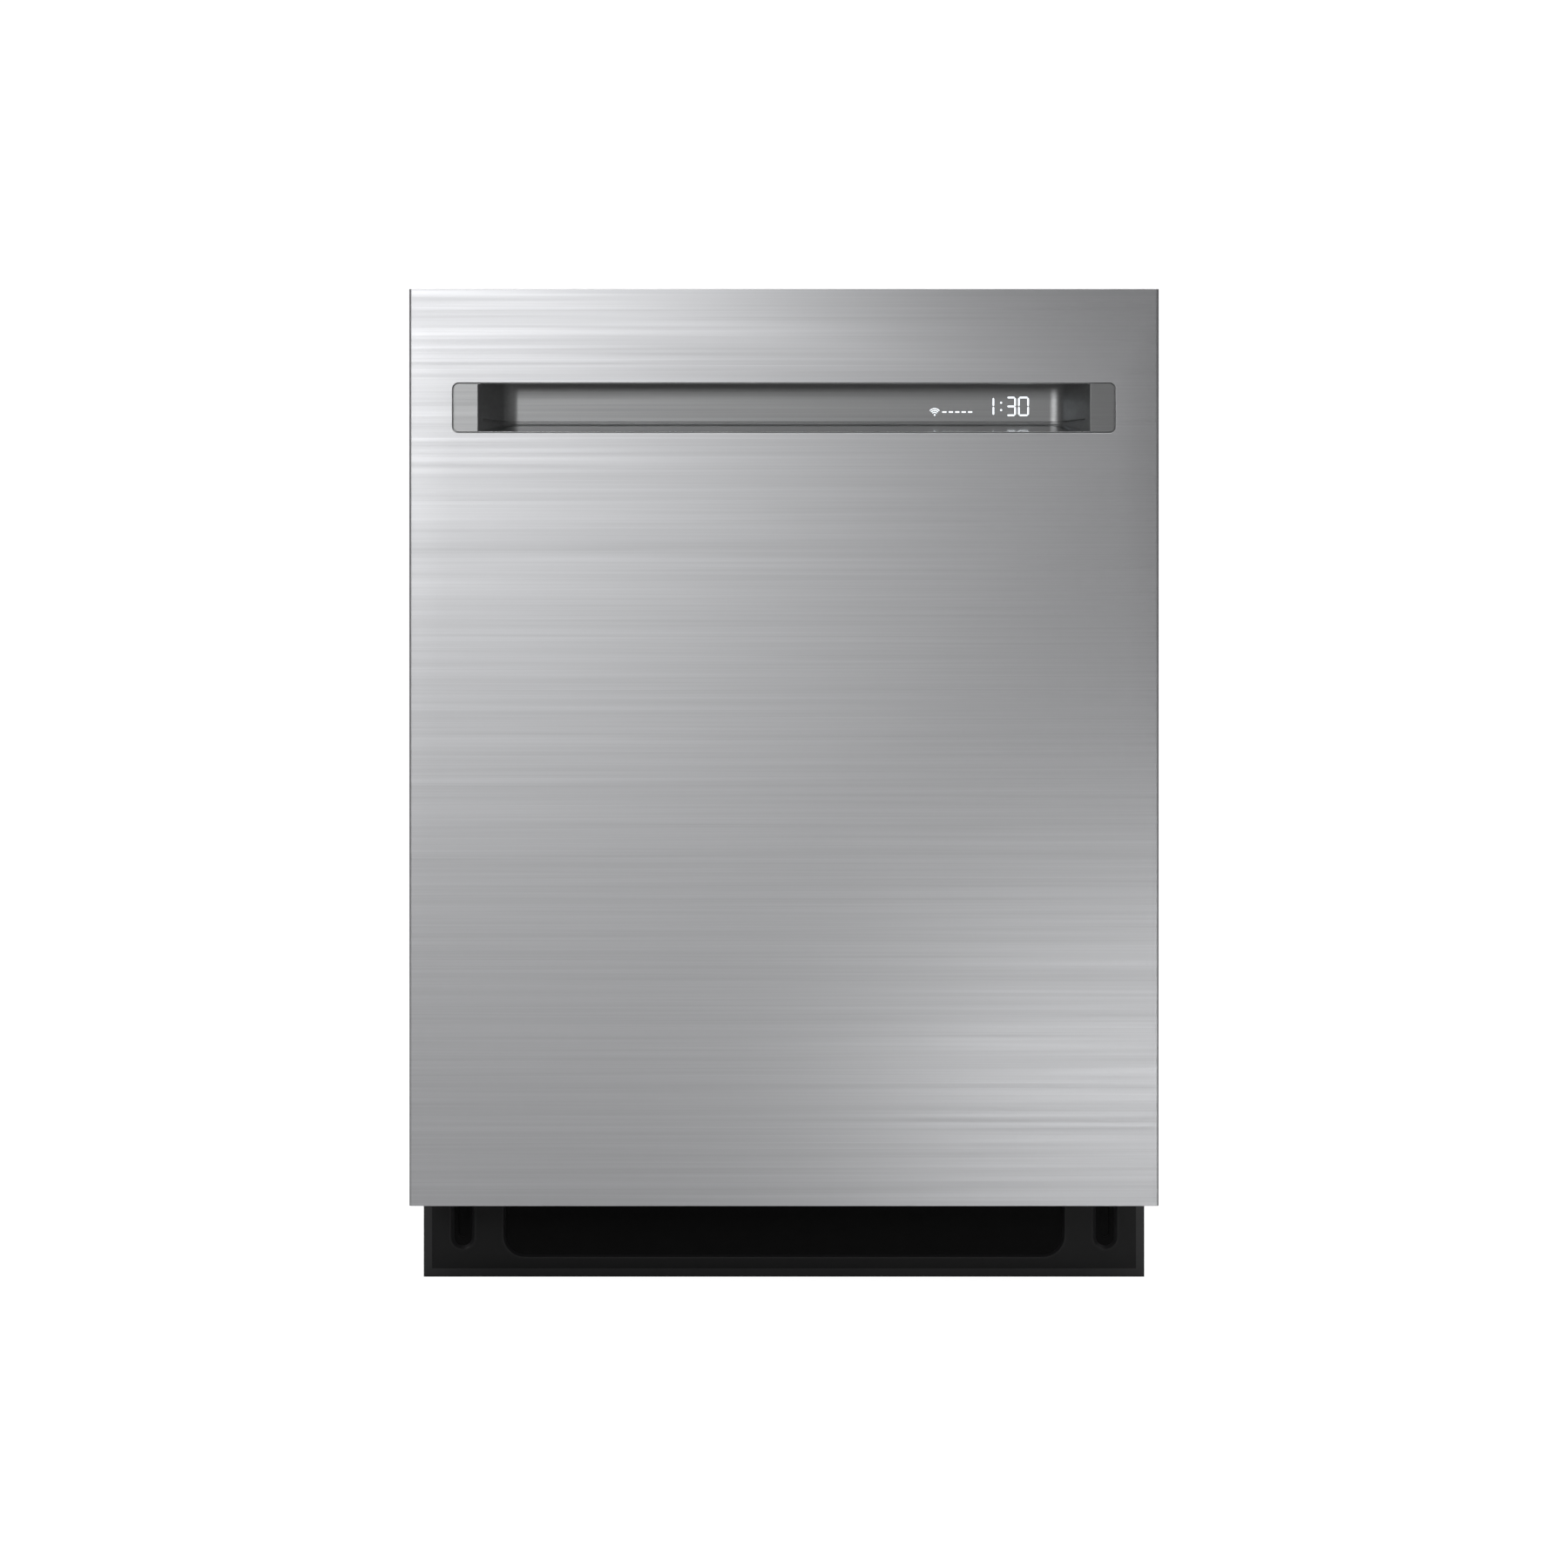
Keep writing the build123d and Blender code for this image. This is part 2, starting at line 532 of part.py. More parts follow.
BRACKET_X = 200.0
BRACKET_HOLE_R = 2.6
BRACKET_HOLE_Y = -215.0
with BuildPart() as countertop_brackets:
    for side in (-1, 1):
        x = (side * BRACKET_X - 20, side * BRACKET_X + 20)
        slab(x, (FRAME_Y + 0.5, -200), (HEIGHT - 1.5, HEIGHT))
        slab(x, (FRAME_Y + 0.5, FRAME_Y + 2), (FRAME_TOP, HEIGHT - 1.5))
    holes = [(side * BRACKET_X, BRACKET_HOLE_Y, HEIGHT) for side in (-1, 1)]
    round_bar(ALONG_Z, BRACKET_HOLE_R, 10, holes, Mode.SUBTRACT)
save(countertop_brackets, "countertop_brackets")

# ---------------------------------------------------------------- base
FOOT_XS, FOOT_YS = 262.0, (-196.0, 240.0)
FOOT_STEM_R = 5.0
BRACKET_PLATE = (282.2, 285.8)

with BuildPart() as base_frame:
    web = (RAIL_WEB_X, RAIL_WEB_X + TUB_SHEET)
    for side in (-1, 1):
        web_x = (side * web[0], side * web[1])
        slab(web_x, (-234, 272), (BASE_Z, RAIL_TOP))
        slab((side * web[1], side * 296), (-234, 272), (BASE_Z, BASE_Z + TUB_SHEET))
        slab((side * 244, side * web[0]), (-234, 272), (BASE_Z, BASE_Z + TUB_SHEET))
        slab((side * web[1], side * 299.5), (SPRING_FRONT - 3, SPRING_FRONT), (107, RAIL_TOP))
        for y in FOOT_YS:
            slab((side * (FOOT_XS - 12), side * (FOOT_XS + 12)), (y - 12, y + 12), (BASE_Z, 44))
    slab((-RAIL_WEB_X, RAIL_WEB_X), (-234, -234 + TUB_SHEET), (BASE_Z, 48))
    slab((-RAIL_WEB_X, RAIL_WEB_X), (272 - TUB_SHEET, 272), (BASE_Z, 48))
    feet = [(side * FOOT_XS, y, 30) for side in (-1, 1) for y in FOOT_YS]
    round_bar(ALONG_Z, FOOT_STEM_R + RUN_GAP, 60, feet, Mode.SUBTRACT)
    rods = [(side * CABLE_X, SPRING_FRONT, CABLE_Z) for side in (-1, 1)]
    round_bar(ALONG_Y, 2.5 + RUN_GAP, 20, rods, Mode.SUBTRACT)
save(base_frame, "base_frame")

for foot_name, side, foot_y in (
    ("foot_front_left", -1, FOOT_YS[0]),
    ("foot_front_right", 1, FOOT_YS[0]),
    ("foot_rear_left", -1, FOOT_YS[1]),
    ("foot_rear_right", 1, FOOT_YS[1]),
):
    with BuildPart() as foot:
        round_bar(ALONG_Z, 17, 7, [(side * FOOT_XS, foot_y, 3.5)])
        chamfer(edges().group_by(Axis.Z)[-1], 2)
        round_bar(ALONG_Z, FOOT_STEM_R, 72, [(side * FOOT_XS, foot_y, 42)])
        with BuildSketch(Plane.XY.offset(7)):
            with Locations((side * FOOT_XS, foot_y)):
                RegularPolygon(9, 6)
        extrude(amount=6)
    save(foot, foot_name)

with BuildPart() as hinge_brackets:
    with BuildSketch(Plane.YZ.offset(BRACKET_PLATE[0])):
        with BuildLine():
            Polyline(
                (-290, 88),
                (-276, 81),
                (-180, 81),
                (-180, 109),
                (-276, 109),
                (-290, 102),
                close=True,
            )
        make_face()
    extrude(amount=BRACKET_PLATE[1] - BRACKET_PLATE[0])
    pin = (BRACKET_PLATE[1], 298.0)
    round_bar(ALONG_X, PIN_R, pin[1] - pin[0], [(sum(pin) / 2, HINGE_Y, HINGE_Z)])
    mirror(about=Plane.YZ)
save(hinge_brackets, "hinge_brackets")

# Toe panel: folded black sheet with a bent-back border, a broad stamped recess and two
# stamped screw slots.
TOE_BORDER, BORDER_FALL = 7.0, 1.3
RECESS_HALF, RECESS_Z, STAMPING = 232.0, (17.0, 98.0), 3.2
SLOT_X, SLOT_Z = 265.5, (23.5, 77.5)


def stamping(outline, front, depth, taper):
    """An outline pressed backwards from a plane facing the front."""
    with BuildPart() as sunk:
        with BuildSketch(Plane.XZ.offset(-front)):
            add(outline)
        extrude(amount=-depth, taper=taper)
    return sunk.part


with BuildSketch() as recess_outline:
    with Locations((0, sum(RECESS_Z) / 2)):
        RectangleRounded(2 * RECESS_HALF, RECESS_Z[1] - RECESS_Z[0], 18)
with BuildSketch() as slot_outline:
    with Locations(*[(side * SLOT_X, sum(SLOT_Z) / 2) for side in (-1, 1)]):
        SlotOverall(SLOT_Z[1] - SLOT_Z[0], 20, rotation=90)
with BuildSketch() as screw_outline:
    with Locations(*[(side * SLOT_X, sum(SLOT_Z) / 2 + 3) for side in (-1, 1)]):
        SlotOverall(SLOT_Z[1] - SLOT_Z[0] - 14, 8, rotation=90)

with BuildPart() as toe_panel:
    toe_middle, toe_height = sum(TOE_Z) / 2, TOE_Z[1] - TOE_Z[0]
    shell = (-TOE_HALF + SHEET, TOE_HALF - SHEET)
    for inward, mode in ((0, Mode.ADD), (SHEET, Mode.SUBTRACT)):
        width, height = 2 * (TOE_HALF - inward), toe_height - 2 * inward
        root_y = TOE_Y + BORDER_FALL + inward
        with BuildSketch(Plane.XZ.offset(-root_y)):
            with Locations((0, toe_middle)):
                Rectangle(width, height)
        extrude(amount=BORDER_FALL, taper=degrees(atan2(TOE_BORDER, BORDER_FALL)), mode=mode)
        span = (toe_middle - height / 2, toe_middle + height / 2)
        slab((-width / 2, width / 2), (root_y, TOE_Y + 9 + inward), span, mode)
    slab(shell, (TOE_Y + 2 * SHEET + BORDER_FALL, TOE_Y + 12), (90, 110), Mode.SUBTRACT)
    for x in both(272, 300):
        slab(x, (TOE_Y - 1, TOE_Y + 12), (78, 110), Mode.SUBTRACT)
    add(stamping(recess_outline.sketch, TOE_Y + SHEET, STAMPING, 30))
    add(stamping(recess_outline.sketch, TOE_Y, STAMPING, 30), mode=Mode.SUBTRACT)
    add(stamping(slot_outline.sketch, TOE_Y + SHEET, STAMPING, 40))
    add(stamping(slot_outline.sketch, TOE_Y, STAMPING, 40), mode=Mode.SUBTRACT)
    add(stamping(offset(screw_outline.sketch, SHEET), TOE_Y + STAMPING, 2.5, 0))
    add(stamping(screw_outline.sketch, TOE_Y + SHEET, STAMPING + 0.5, 0), mode=Mode.SUBTRACT)
save(toe_panel, "toe_panel")

# ---------------------------------------------------------------- balance mechanism
with BuildPart() as balance_cables:
    for side in (-1, 1):
        round_bar(ALONG_Y, 1.2, 60, [(side * CABLE_X, HINGE_Y + 30, CABLE_Z)])
save(balance_cables, "balance_cables")

SPRING_REAR = SPRING_FRONT + SPRING_LENGTH
ROD_FRONT = HINGE_Y + 60
with BuildPart() as balance_rods:
    rod_length = SPRING_REAR + 6 - ROD_FRONT
    for side in (-1, 1):
        rod_y = ROD_FRONT + rod_length / 2
        round_bar(ALONG_Y, 2.5, rod_length, [(side * CABLE_X, rod_y, CABLE_Z)])
        round_bar(ALONG_Y, 3.6, 6, [(side * CABLE_X, ROD_FRONT + 3, CABLE_Z)])
        round_bar(ALONG_Y, 5.6, 6, [(side * CABLE_X, SPRING_REAR + 3, CABLE_Z)])
save(balance_rods, "balance_rods")

COIL_R, COIL_WIRE = 4.7, 0.9
with BuildPart() as balance_springs:
    coil_y = SPRING_FRONT + COIL_WIRE + 0.1
    coil_length = SPRING_LENGTH - 2 * COIL_WIRE - 0.2
    with BuildLine() as coil:
        centre = (CABLE_X, coil_y, CABLE_Z)
        Helix(coil_length / 20, coil_length, COIL_R, center=centre, direction=(0, 1, 0))
    with BuildSketch(Plane(coil.line @ 0, z_dir=coil.line % 0)):
        Circle(COIL_WIRE)
    sweep()
    mirror(about=Plane.YZ)
save(balance_springs, "balance_springs")

# ---------------------------------------------------------------- water parts
PUMP_Z = 74.0
SUMP_WALL = (62.0, 66.0)

with BuildPart() as sump:
    round_bar(ALONG_Z, SUMP_WALL[1], 58, [(0, SUMP_Y, 90)])
    round_bar(ALONG_Z, 78, 2.5, [(0, SUMP_Y, TUB_FLOOR + 1.25)])
    round_bar(ALONG_Y, 5, 40, [(-30, -155, 75)])
    round_bar(ALONG_Z, SUMP_WALL[0], 60, [(0, SUMP_Y, 95)], Mode.SUBTRACT)
    round_bar(ALONG_Z, 5, 8, [(-30, SUMP_Y - 30, 66)])
    slab((-58, 58), (SUMP_Y - 2, SUMP_Y + 2), (64, 71))
save(sump, "sump")

with BuildPart() as fine_filter:
    round_bar(ALONG_Z, SUMP_WALL[0] - 0.3, 2, [(0, SUMP_Y, TUB_FLOOR - 0.5)])
    round_bar(ALONG_Z, 31, 10, [(0, SUMP_Y, TUB_FLOOR)], Mode.SUBTRACT)
save(fine_filter, "fine_filter")

with BuildPart() as coarse_filter:
    round_bar(ALONG_Z, 30.5, 50, [(0, SUMP_Y, TUB_FLOOR - 22)])
    round_bar(ALONG_Z, 37, 3, [(0, SUMP_Y, TUB_FLOOR + 2.2)])
    round_bar(ALONG_Z, 28, 60, [(0, SUMP_Y, TUB_FLOOR - 14)], Mode.SUBTRACT)
    slab((-30, 30), (SUMP_Y - 2.5, SUMP_Y + 2.5), (TUB_FLOOR - 4, TUB_FLOOR + 12))
save(coarse_filter, "coarse_filter")

with BuildPart() as circulation_pump:
    round_bar(ALONG_X, 40, 30, [(86, SUMP_Y, PUMP_Z)])
    round_bar(ALONG_X, 34, 84, [(143, SUMP_Y, PUMP_Z)])
    round_bar(ALONG_X, 13, 8, [(70.05, SUMP_Y, PUMP_Z)])
    round_bar(ALONG_X, 12, 6, [(188, SUMP_Y, PUMP_Z)])
save(circulation_pump, "circulation_pump")

with BuildPart() as drain_pump:
    round_bar(ALONG_X, 26, 24, [(-80, SUMP_Y, 85)])
    round_bar(ALONG_X, 21, 58, [(-121, SUMP_Y, 85)])
    round_bar(ALONG_Y, 8, 22, [(-80, SUMP_Y + 30, 85)])
save(drain_pump, "drain_pump")

with BuildPart() as heating_element:
    with BuildLine() as heater_path:
        FilletPolyline(
            (60, HEATER_Y[1], 96),
            (60, HEATER_Y[1], HEATER_Z),
            (HEATER_X, HEATER_Y[1], HEATER_Z),
            (HEATER_X, HEATER_Y[0], HEATER_Z),
            (-HEATER_X, HEATER_Y[0], HEATER_Z),
            (-HEATER_X, HEATER_Y[1], HEATER_Z),
            (-60, HEATER_Y[1], HEATER_Z),
            (-60, HEATER_Y[1], 96),
            radius=14,
        )
    with BuildSketch(Plane(heater_path.line @ 0, z_dir=heater_path.line % 0)):
        Circle(3.5)
    sweep()
save(heating_element, "heating_element")

# Moulded delivery tube: pump duct, lower arm's post, riser and ceiling run in one piece.
LOWER_ARM_Z = (140.0, 153.0)
UPPER_ARM_Z = (427.0, 439.0)
CEILING_ARM_Z = (737.0, 746.0)
RISER_Y, TUBE_R = 264.0, 9.0
CEILING_Z = 758.0
DOCK_Z = 452.0
with BuildPart() as feed_tube:
    with BuildLine() as riser:
        FilletPolyline(
            (0, ARM_Y, 129),
            (0, RISER_Y, 129),
            (0, RISER_Y, CEILING_Z),
            (0, ARM_Y, CEILING_Z),
            radius=24,
        )
    with BuildSketch(Plane(riser.line @ 0, z_dir=riser.line % 0)):
        Circle(TUBE_R)
    sweep()
    with BuildLine() as duct:
        FilletPolyline(
            (86, SUMP_Y + 41, PUMP_Z),
            (86, ARM_Y, PUMP_Z),
            (0, ARM_Y, PUMP_Z),
            (0, ARM_Y, 130),
            radius=24,
        )
    with BuildSketch(Plane(duct.line @ 0, z_dir=duct.line % 0)):
        Circle(11)
    sweep()
    round_bar(ALONG_Z, 22, 4, [(0, ARM_Y, TUB_FLOOR + 2)])
    round_bar(ALONG_Z, 13, 16, [(0, ARM_Y, 128)])
    round_bar(ALONG_Z, 6, 26, [(0, ARM_Y, 141)])
    round_bar(ALONG_Z, 13, 17, [(0, ARM_Y, CEILING_Z - 1.5)])
    round_bar(ALONG_Z, 6, 24, [(0, ARM_Y, 745)])
    round_bar(ALONG_Y, 15, 10, [(0, RISER_Y - 11, DOCK_Z)])
save(feed_tube, "feed_tube")

with BuildPart() as inlet_valve:
    slab((-238, -204), (-222, -170), (48, 86))
    round_bar(ALONG_Y, 13.2, 16, [(-221, -162, 66)])
    round_bar(ALONG_Z, 12, 16, [(-221, -200, 94)])
    round_bar(ALONG_X, 8, 6, [(-201, -198, 75)])
save(inlet_valve, "inlet_valve")

with BuildPart() as inlet_hose:
    with BuildLine() as inlet_path:
        FilletPolyline(
            (-198, -198, 75),
            (-30, -198, 75),
            (-30, -175, 75),
            radius=20,
        )
    with BuildSketch(Plane(inlet_path.line @ 0, z_dir=inlet_path.line % 0)):
        Circle(8)
    sweep()
save(inlet_hose, "inlet_hose")

with BuildPart() as drain_hose:
    with BuildLine() as drain_path:
        FilletPolyline(
            (HOSE_XS[0], SUMP_Y + 41, 85),
            (HOSE_XS[0], HOSE_Y, 85),
            (HOSE_XS[0], HOSE_Y, 680),
            (HOSE_XS[1], HOSE_Y, 680),
            (HOSE_XS[1], HOSE_Y, 130),
            radius=45,
        )
    with BuildSketch(Plane(drain_path.line @ 0, z_dir=drain_path.line % 0)):
        Circle(HOSE_R)
    sweep()
save(drain_hose, "drain_hose")

with BuildPart() as junction_box:
    slab((196, 240), (-222, -158), (40, 84))
    slab((198, 238), (-220, -160), (42, 82), Mode.SUBTRACT)
    round_bar(ALONG_Y, 11, 6, [(218, -159, 62)], Mode.SUBTRACT)
save(junction_box, "junction_box")

# ---------------------------------------------------------------- spray arms
POST_R = 6.0
JETS = (0.34, 0.5, 0.66, 0.82, 0.93)


def spray_arm(radius, z, root, tip, bore):
    """A closed two-wing arm on a hub, with a row of jets along each wing."""
    with BuildPart() as arm:
        with BuildSketch(Plane.XY.offset(z[0])):
            with BuildLine():
                wing = [(-radius, -tip), (0, -root), (radius, -tip)]
                Polyline(*wing, *[(-x, -y) for x, y in wing], close=True)
            make_face()
            fillet(vertices().group_by(Axis.X)[0], tip * 0.8)
            fillet(vertices().group_by(Axis.X)[-1], tip * 0.8)
        extrude(amount=z[1] - z[0])
        with Locations((0, 0, (z[0] + z[1]) / 2)):
            Cylinder(root + 4, z[1] - z[0])
            Cylinder(bore, 60, mode=Mode.SUBTRACT)
        spots = [(side * radius * k, 0, z[1]) for side in (-1, 1) for k in JETS]
        with Locations(*spots):
            Cylinder(1.8, 3, mode=Mode.SUBTRACT)
    return arm.part


for arm_name, arm_radius, arm_z in (
    ("lower_spray_arm", 226.0, LOWER_ARM_Z),
    ("upper_spray_arm", 218.0, UPPER_ARM_Z),
    ("ceiling_spray_arm", 120.0, CEILING_ARM_Z),
):
    with BuildPart() as arm_piece:
        with Locations((0, ARM_Y, 0)):
            add(spray_arm(arm_radius, arm_z, 20, 13, POST_R + RUN_GAP))
    save(arm_piece, arm_name)

with BuildPart() as upper_manifold:
    with BuildLine() as manifold_path:
        FilletPolyline(
            (0, RISER_Y - 16.5, DOCK_Z),
            (0, ARM_Y, DOCK_Z),
            (0, ARM_Y, DOCK_Z - 8),
            radius=7,
        )
    with BuildSketch(Plane(manifold_path.line @ 0, z_dir=manifold_path.line % 0)):
        Circle(6.5)
    sweep()
    round_bar(ALONG_Y, 14, 8, [(0, RISER_Y - 20.5, DOCK_Z)])
    round_bar(ALONG_Z, 13, 12, [(0, ARM_Y, DOCK_Z - 5)])
    round_bar(ALONG_Z, POST_R, 24, [(0, ARM_Y, 436)])
    for y in (0, 150):
        slab((-9, 9), (y + ARM_Y - 4, y + ARM_Y + 4), (DOCK_Z, UPPER_FLOOR - WIRE / 2 - WIRE - 0.1))
save(upper_manifold, "upper_manifold")

# ---------------------------------------------------------------- racks
# Straight coated wires laid crosswise; every wire stops short of the next by the same gap.
SIDE_XS = [RACK_PITCH * (i - 5.5) for i in range(12)]
SIDE_YS = [-197.0 + 42.0 * i for i in range(11)]
RIM_OFFSET = WIRE / 2 + WIRE_GAP + RIM_WIRE / 2
CROSS_YS = (-190.0, -100.0, -40.0, 70.0, 130.0, 220.0)


def rim(z):
    """Four straight rim wires around the outside of the upright wires."""
    x = RACK_HALF + RIM_OFFSET
    ys = (RACK_Y[0] - RIM_OFFSET, RACK_Y[1] + RIM_OFFSET)
    round_bar(ALONG_X, RIM_WIRE / 2, 2 * x + RIM_WIRE, [(0, y, z) for y in ys])
    length = ys[1] - ys[0] - RIM_WIRE - 2 * WIRE_GAP
    round_bar(ALONG_Y, RIM_WIRE / 2, length, [(side * x, sum(ys) / 2, z) for side in (-1, 1)])


def wire_basket(floor, top, rims):
    """A rack's floor grid, upright wires on its four sides and rims around them."""
    length = RACK_Y[1] - RACK_Y[0] - WIRE - 2 * WIRE_GAP
    round_bar(ALONG_Y, WIRE / 2, length, [(x, sum(RACK_Y) / 2, floor) for x in SIDE_XS])
    under = floor - WIRE - WIRE_GAP
    width = 2 * RACK_HALF - WIRE - 2 * WIRE_GAP
    round_bar(ALONG_X, WIRE / 2, width, [(0, y, under) for y in CROSS_YS])
    height, middle = top - floor + WIRE, (top + floor) / 2
    ends = [(x, y, middle) for x in SIDE_XS for y in RACK_Y]
    sides = [(side * RACK_HALF, y, middle) for side in (-1, 1) for y in SIDE_YS]
    round_bar(ALONG_Z, WIRE / 2, height, ends + sides)
    for z in rims:
        rim(z)


def tine_rows(floor, height, xs, ys):
    """Rows of upright tines that stand on the floor wires."""
    bottom = floor + WIRE / 2 + WIRE_GAP
    places = [(x, y, bottom + height / 2) for x in xs for y in ys]
    round_bar(ALONG_Z, 1.6, height, places)


TINE_YS = [-120.0 + 42.0 * i for i in range(8)]
LOWER_TINE_XS = [x for x in SIDE_XS if abs(x) > 60]
with BuildPart() as lower_rack:
    wire_basket(LOWER_FLOOR, 290, (226, 288))
    tine_rows(LOWER_FLOOR, 66, LOWER_TINE_XS, TINE_YS)
    for side in (-1, 1):
        for y in WHEEL_YS:
            slab((side * 257.3, side * 259.8), (y - 9, y + 9), (141, 229))
            axle = [(side * (259.8 + WIRE_GAP + 6.4), y, TRACK_Z + WHEEL_R + 0.1)]
            round_bar(ALONG_X, 3, 12.8, axle)
save(lower_rack, "lower_rack")

for wheel_name, side, wheel_y in (
    ("wheel_front_left", -1, WHEEL_YS[0]),
    ("wheel_front_right", 1, WHEEL_YS[0]),
    ("wheel_rear_left", -1, WHEEL_YS[1]),
    ("wheel_rear_right", 1, WHEEL_YS[1]),
):
    with BuildPart() as wheel:
        hub = [(side * 266, wheel_y, TRACK_Z + WHEEL_R + 0.1)]
        round_bar(ALONG_X, WHEEL_R, 9, hub)
        fillet(edges().filter_by(GeomType.CIRCLE), 1.2)
        round_bar(ALONG_X, 3 + RUN_GAP, 20, hub, Mode.SUBTRACT)
    save(wheel, wheel_name)

BASKET_X, BASKET_Y, BASKET_Z = (-112.0, 112.0), (-212.0, -142.0), (164.1, 262.0)
with BuildPart() as cutlery_basket:
    slab(BASKET_X, BASKET_Y, BASKET_Z)
    fillet(edges().filter_by(Axis.Z), 6)
    cell_w, cell_d = 53.0, 32.0
    with Locations((0, sum(BASKET_Y) / 2, BASKET_Z[0] + 2 + 60)):
        with GridLocations(cell_w + 2, cell_d + 2, 4, 2):
            Box(cell_w, cell_d, 120, mode=Mode.SUBTRACT)
    slab((-100, 100), (-178.5, -175.5), (BASKET_Z[1], 300))
    slab((-88, 88), (-180, -174), (272, 290), Mode.SUBTRACT)
save(cutlery_basket, "cutlery_basket")

UPPER_TINE_XS = [x for x in SIDE_XS if abs(x) < 130]
with BuildPart() as upper_rack:
    wire_basket(UPPER_FLOOR, 592, (532, 590))
    tine_rows(UPPER_FLOOR, 52, UPPER_TINE_XS, TINE_YS)
save(upper_rack, "upper_rack")

THIRD_HALF, THIRD_Y = 248.0, (-208.0, 232.0)
THIRD_XS = [36.0 * (i - 6.5) for i in range(14)]
CHANNEL_Z = (701.2, 713.0)
with BuildPart() as third_rack:
    depth = THIRD_Y[1] - THIRD_Y[0]
    middle_y = sum(THIRD_Y) / 2
    round_bar(ALONG_Y, 1.6, depth, [(x, middle_y, THIRD_FLOOR) for x in THIRD_XS])
    unders = [(0, y, THIRD_FLOOR - 3.25) for y in (-200, -90, 15, 120, 224)]
    round_bar(ALONG_X, 1.6, 2 * THIRD_HALF, unders)
    posts = [(side * THIRD_HALF, y, 705.5) for side in (-1, 1) for y in (-190, -110, -30, 50, 130, 214)]
    round_bar(ALONG_Z, 1.6, 30, posts)
    fronts = [(x, y, 705.5) for x in THIRD_XS for y in (THIRD_Y[0] - 1.7, THIRD_Y[1] + 1.7)]
    round_bar(ALONG_Z, 1.6, 30, fronts)
    third_x = THIRD_HALF + 1.6 + 0.05 + 2
    third_ys = (THIRD_Y[0] - 5.4, THIRD_Y[1] + 5.4)
    round_bar(ALONG_X, 2, 2 * third_x + 4, [(0, y, 718) for y in third_ys])
    side_length = third_ys[1] - third_ys[0] - 4.1
    round_bar(ALONG_Y, 2, side_length, [(side * third_x, middle_y, 718) for side in (-1, 1)])
    for side in (-1, 1):
        slab((side * 253.8, side * (270 - WIRE_GAP)), (60, 216), (704, 710))
        slab((side * 270, side * 281), (60, 216), (CHANNEL_Z[0] + 0.05, CHANNEL_Z[1] - 0.05))
        slab((side * 253.8, side * 256), (60, 216), (710 + WIRE_GAP, 722))
save(third_rack, "third_rack")

RAIL_Y = (-222.0, 244.0)
ROLLER_Z = 561.0
ROLLER_R = 10.0
with BuildPart() as upper_rails:
    for side in (-1, 1):
        slab((side * 262, side * 263.5), RAIL_Y, (ROLLER_Z - ROLLER_R - 1.5, ROLLER_Z + ROLLER_R + 1.5))
        for low in (ROLLER_Z - ROLLER_R - 1.55, ROLLER_Z + ROLLER_R + 0.05):
            slab((side * 262, side * 277), RAIL_Y, (low, low + 1.5))
        for y in (-150, 170):
            slab((side * 257.1, side * 259.1), (y - 12, y + 12), (526, 594))
            slab((side * 259.1, side * 262), (y - 12, y + 12), (ROLLER_Z - 8, ROLLER_Z + 8))
save(upper_rails, "upper_rails")

ROLLER_YS = (-226.0, -196.0)
with BuildPart() as rack_guides:
    for side in (-1, 1):
        slab((side * 281.5, side * 284), (-238, -182), (ROLLER_Z - 16, ROLLER_Z + 16))
        rollers = [(side * 270.5, y, ROLLER_Z) for y in ROLLER_YS]
        round_bar(ALONG_X, ROLLER_R, 12, rollers)
        round_bar(ALONG_X, 3, 6, [(side * 279, y, ROLLER_Z) for y in ROLLER_YS])
        for low in (CHANNEL_Z[0] - 1.2, CHANNEL_Z[1]):
            slab((side * 270, side * 284), (-228, 232), (low, low + 1.2))
        slab((side * 282.8, side * 284), (-228, 232), CHANNEL_Z)
save(rack_guides, "rack_guides")
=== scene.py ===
import json
import math

import bmesh
import bpy
from mathutils import Matrix, Vector

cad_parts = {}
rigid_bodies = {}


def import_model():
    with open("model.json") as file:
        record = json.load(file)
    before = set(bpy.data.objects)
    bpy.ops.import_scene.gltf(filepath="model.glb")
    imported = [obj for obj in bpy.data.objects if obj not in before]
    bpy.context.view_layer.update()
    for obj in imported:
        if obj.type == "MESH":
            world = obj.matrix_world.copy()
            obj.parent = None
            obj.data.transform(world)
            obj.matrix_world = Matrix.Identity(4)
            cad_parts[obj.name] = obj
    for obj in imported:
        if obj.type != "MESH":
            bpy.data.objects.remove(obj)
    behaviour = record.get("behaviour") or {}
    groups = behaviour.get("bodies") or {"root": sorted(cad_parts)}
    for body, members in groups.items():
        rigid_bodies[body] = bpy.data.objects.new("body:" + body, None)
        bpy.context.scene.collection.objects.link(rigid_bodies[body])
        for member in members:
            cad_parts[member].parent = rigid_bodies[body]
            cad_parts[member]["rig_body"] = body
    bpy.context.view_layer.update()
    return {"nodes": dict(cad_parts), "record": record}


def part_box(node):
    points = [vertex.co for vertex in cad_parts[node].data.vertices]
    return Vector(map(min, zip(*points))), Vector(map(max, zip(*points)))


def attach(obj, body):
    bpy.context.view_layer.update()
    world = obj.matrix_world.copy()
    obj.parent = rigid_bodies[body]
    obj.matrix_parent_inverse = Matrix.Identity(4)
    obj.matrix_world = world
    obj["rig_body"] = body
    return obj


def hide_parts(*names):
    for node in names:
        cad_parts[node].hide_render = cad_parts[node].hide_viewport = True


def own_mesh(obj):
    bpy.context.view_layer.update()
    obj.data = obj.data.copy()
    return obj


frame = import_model()
scene = bpy.context.scene
scene.view_settings.view_transform = "Standard"
MM = 0.001

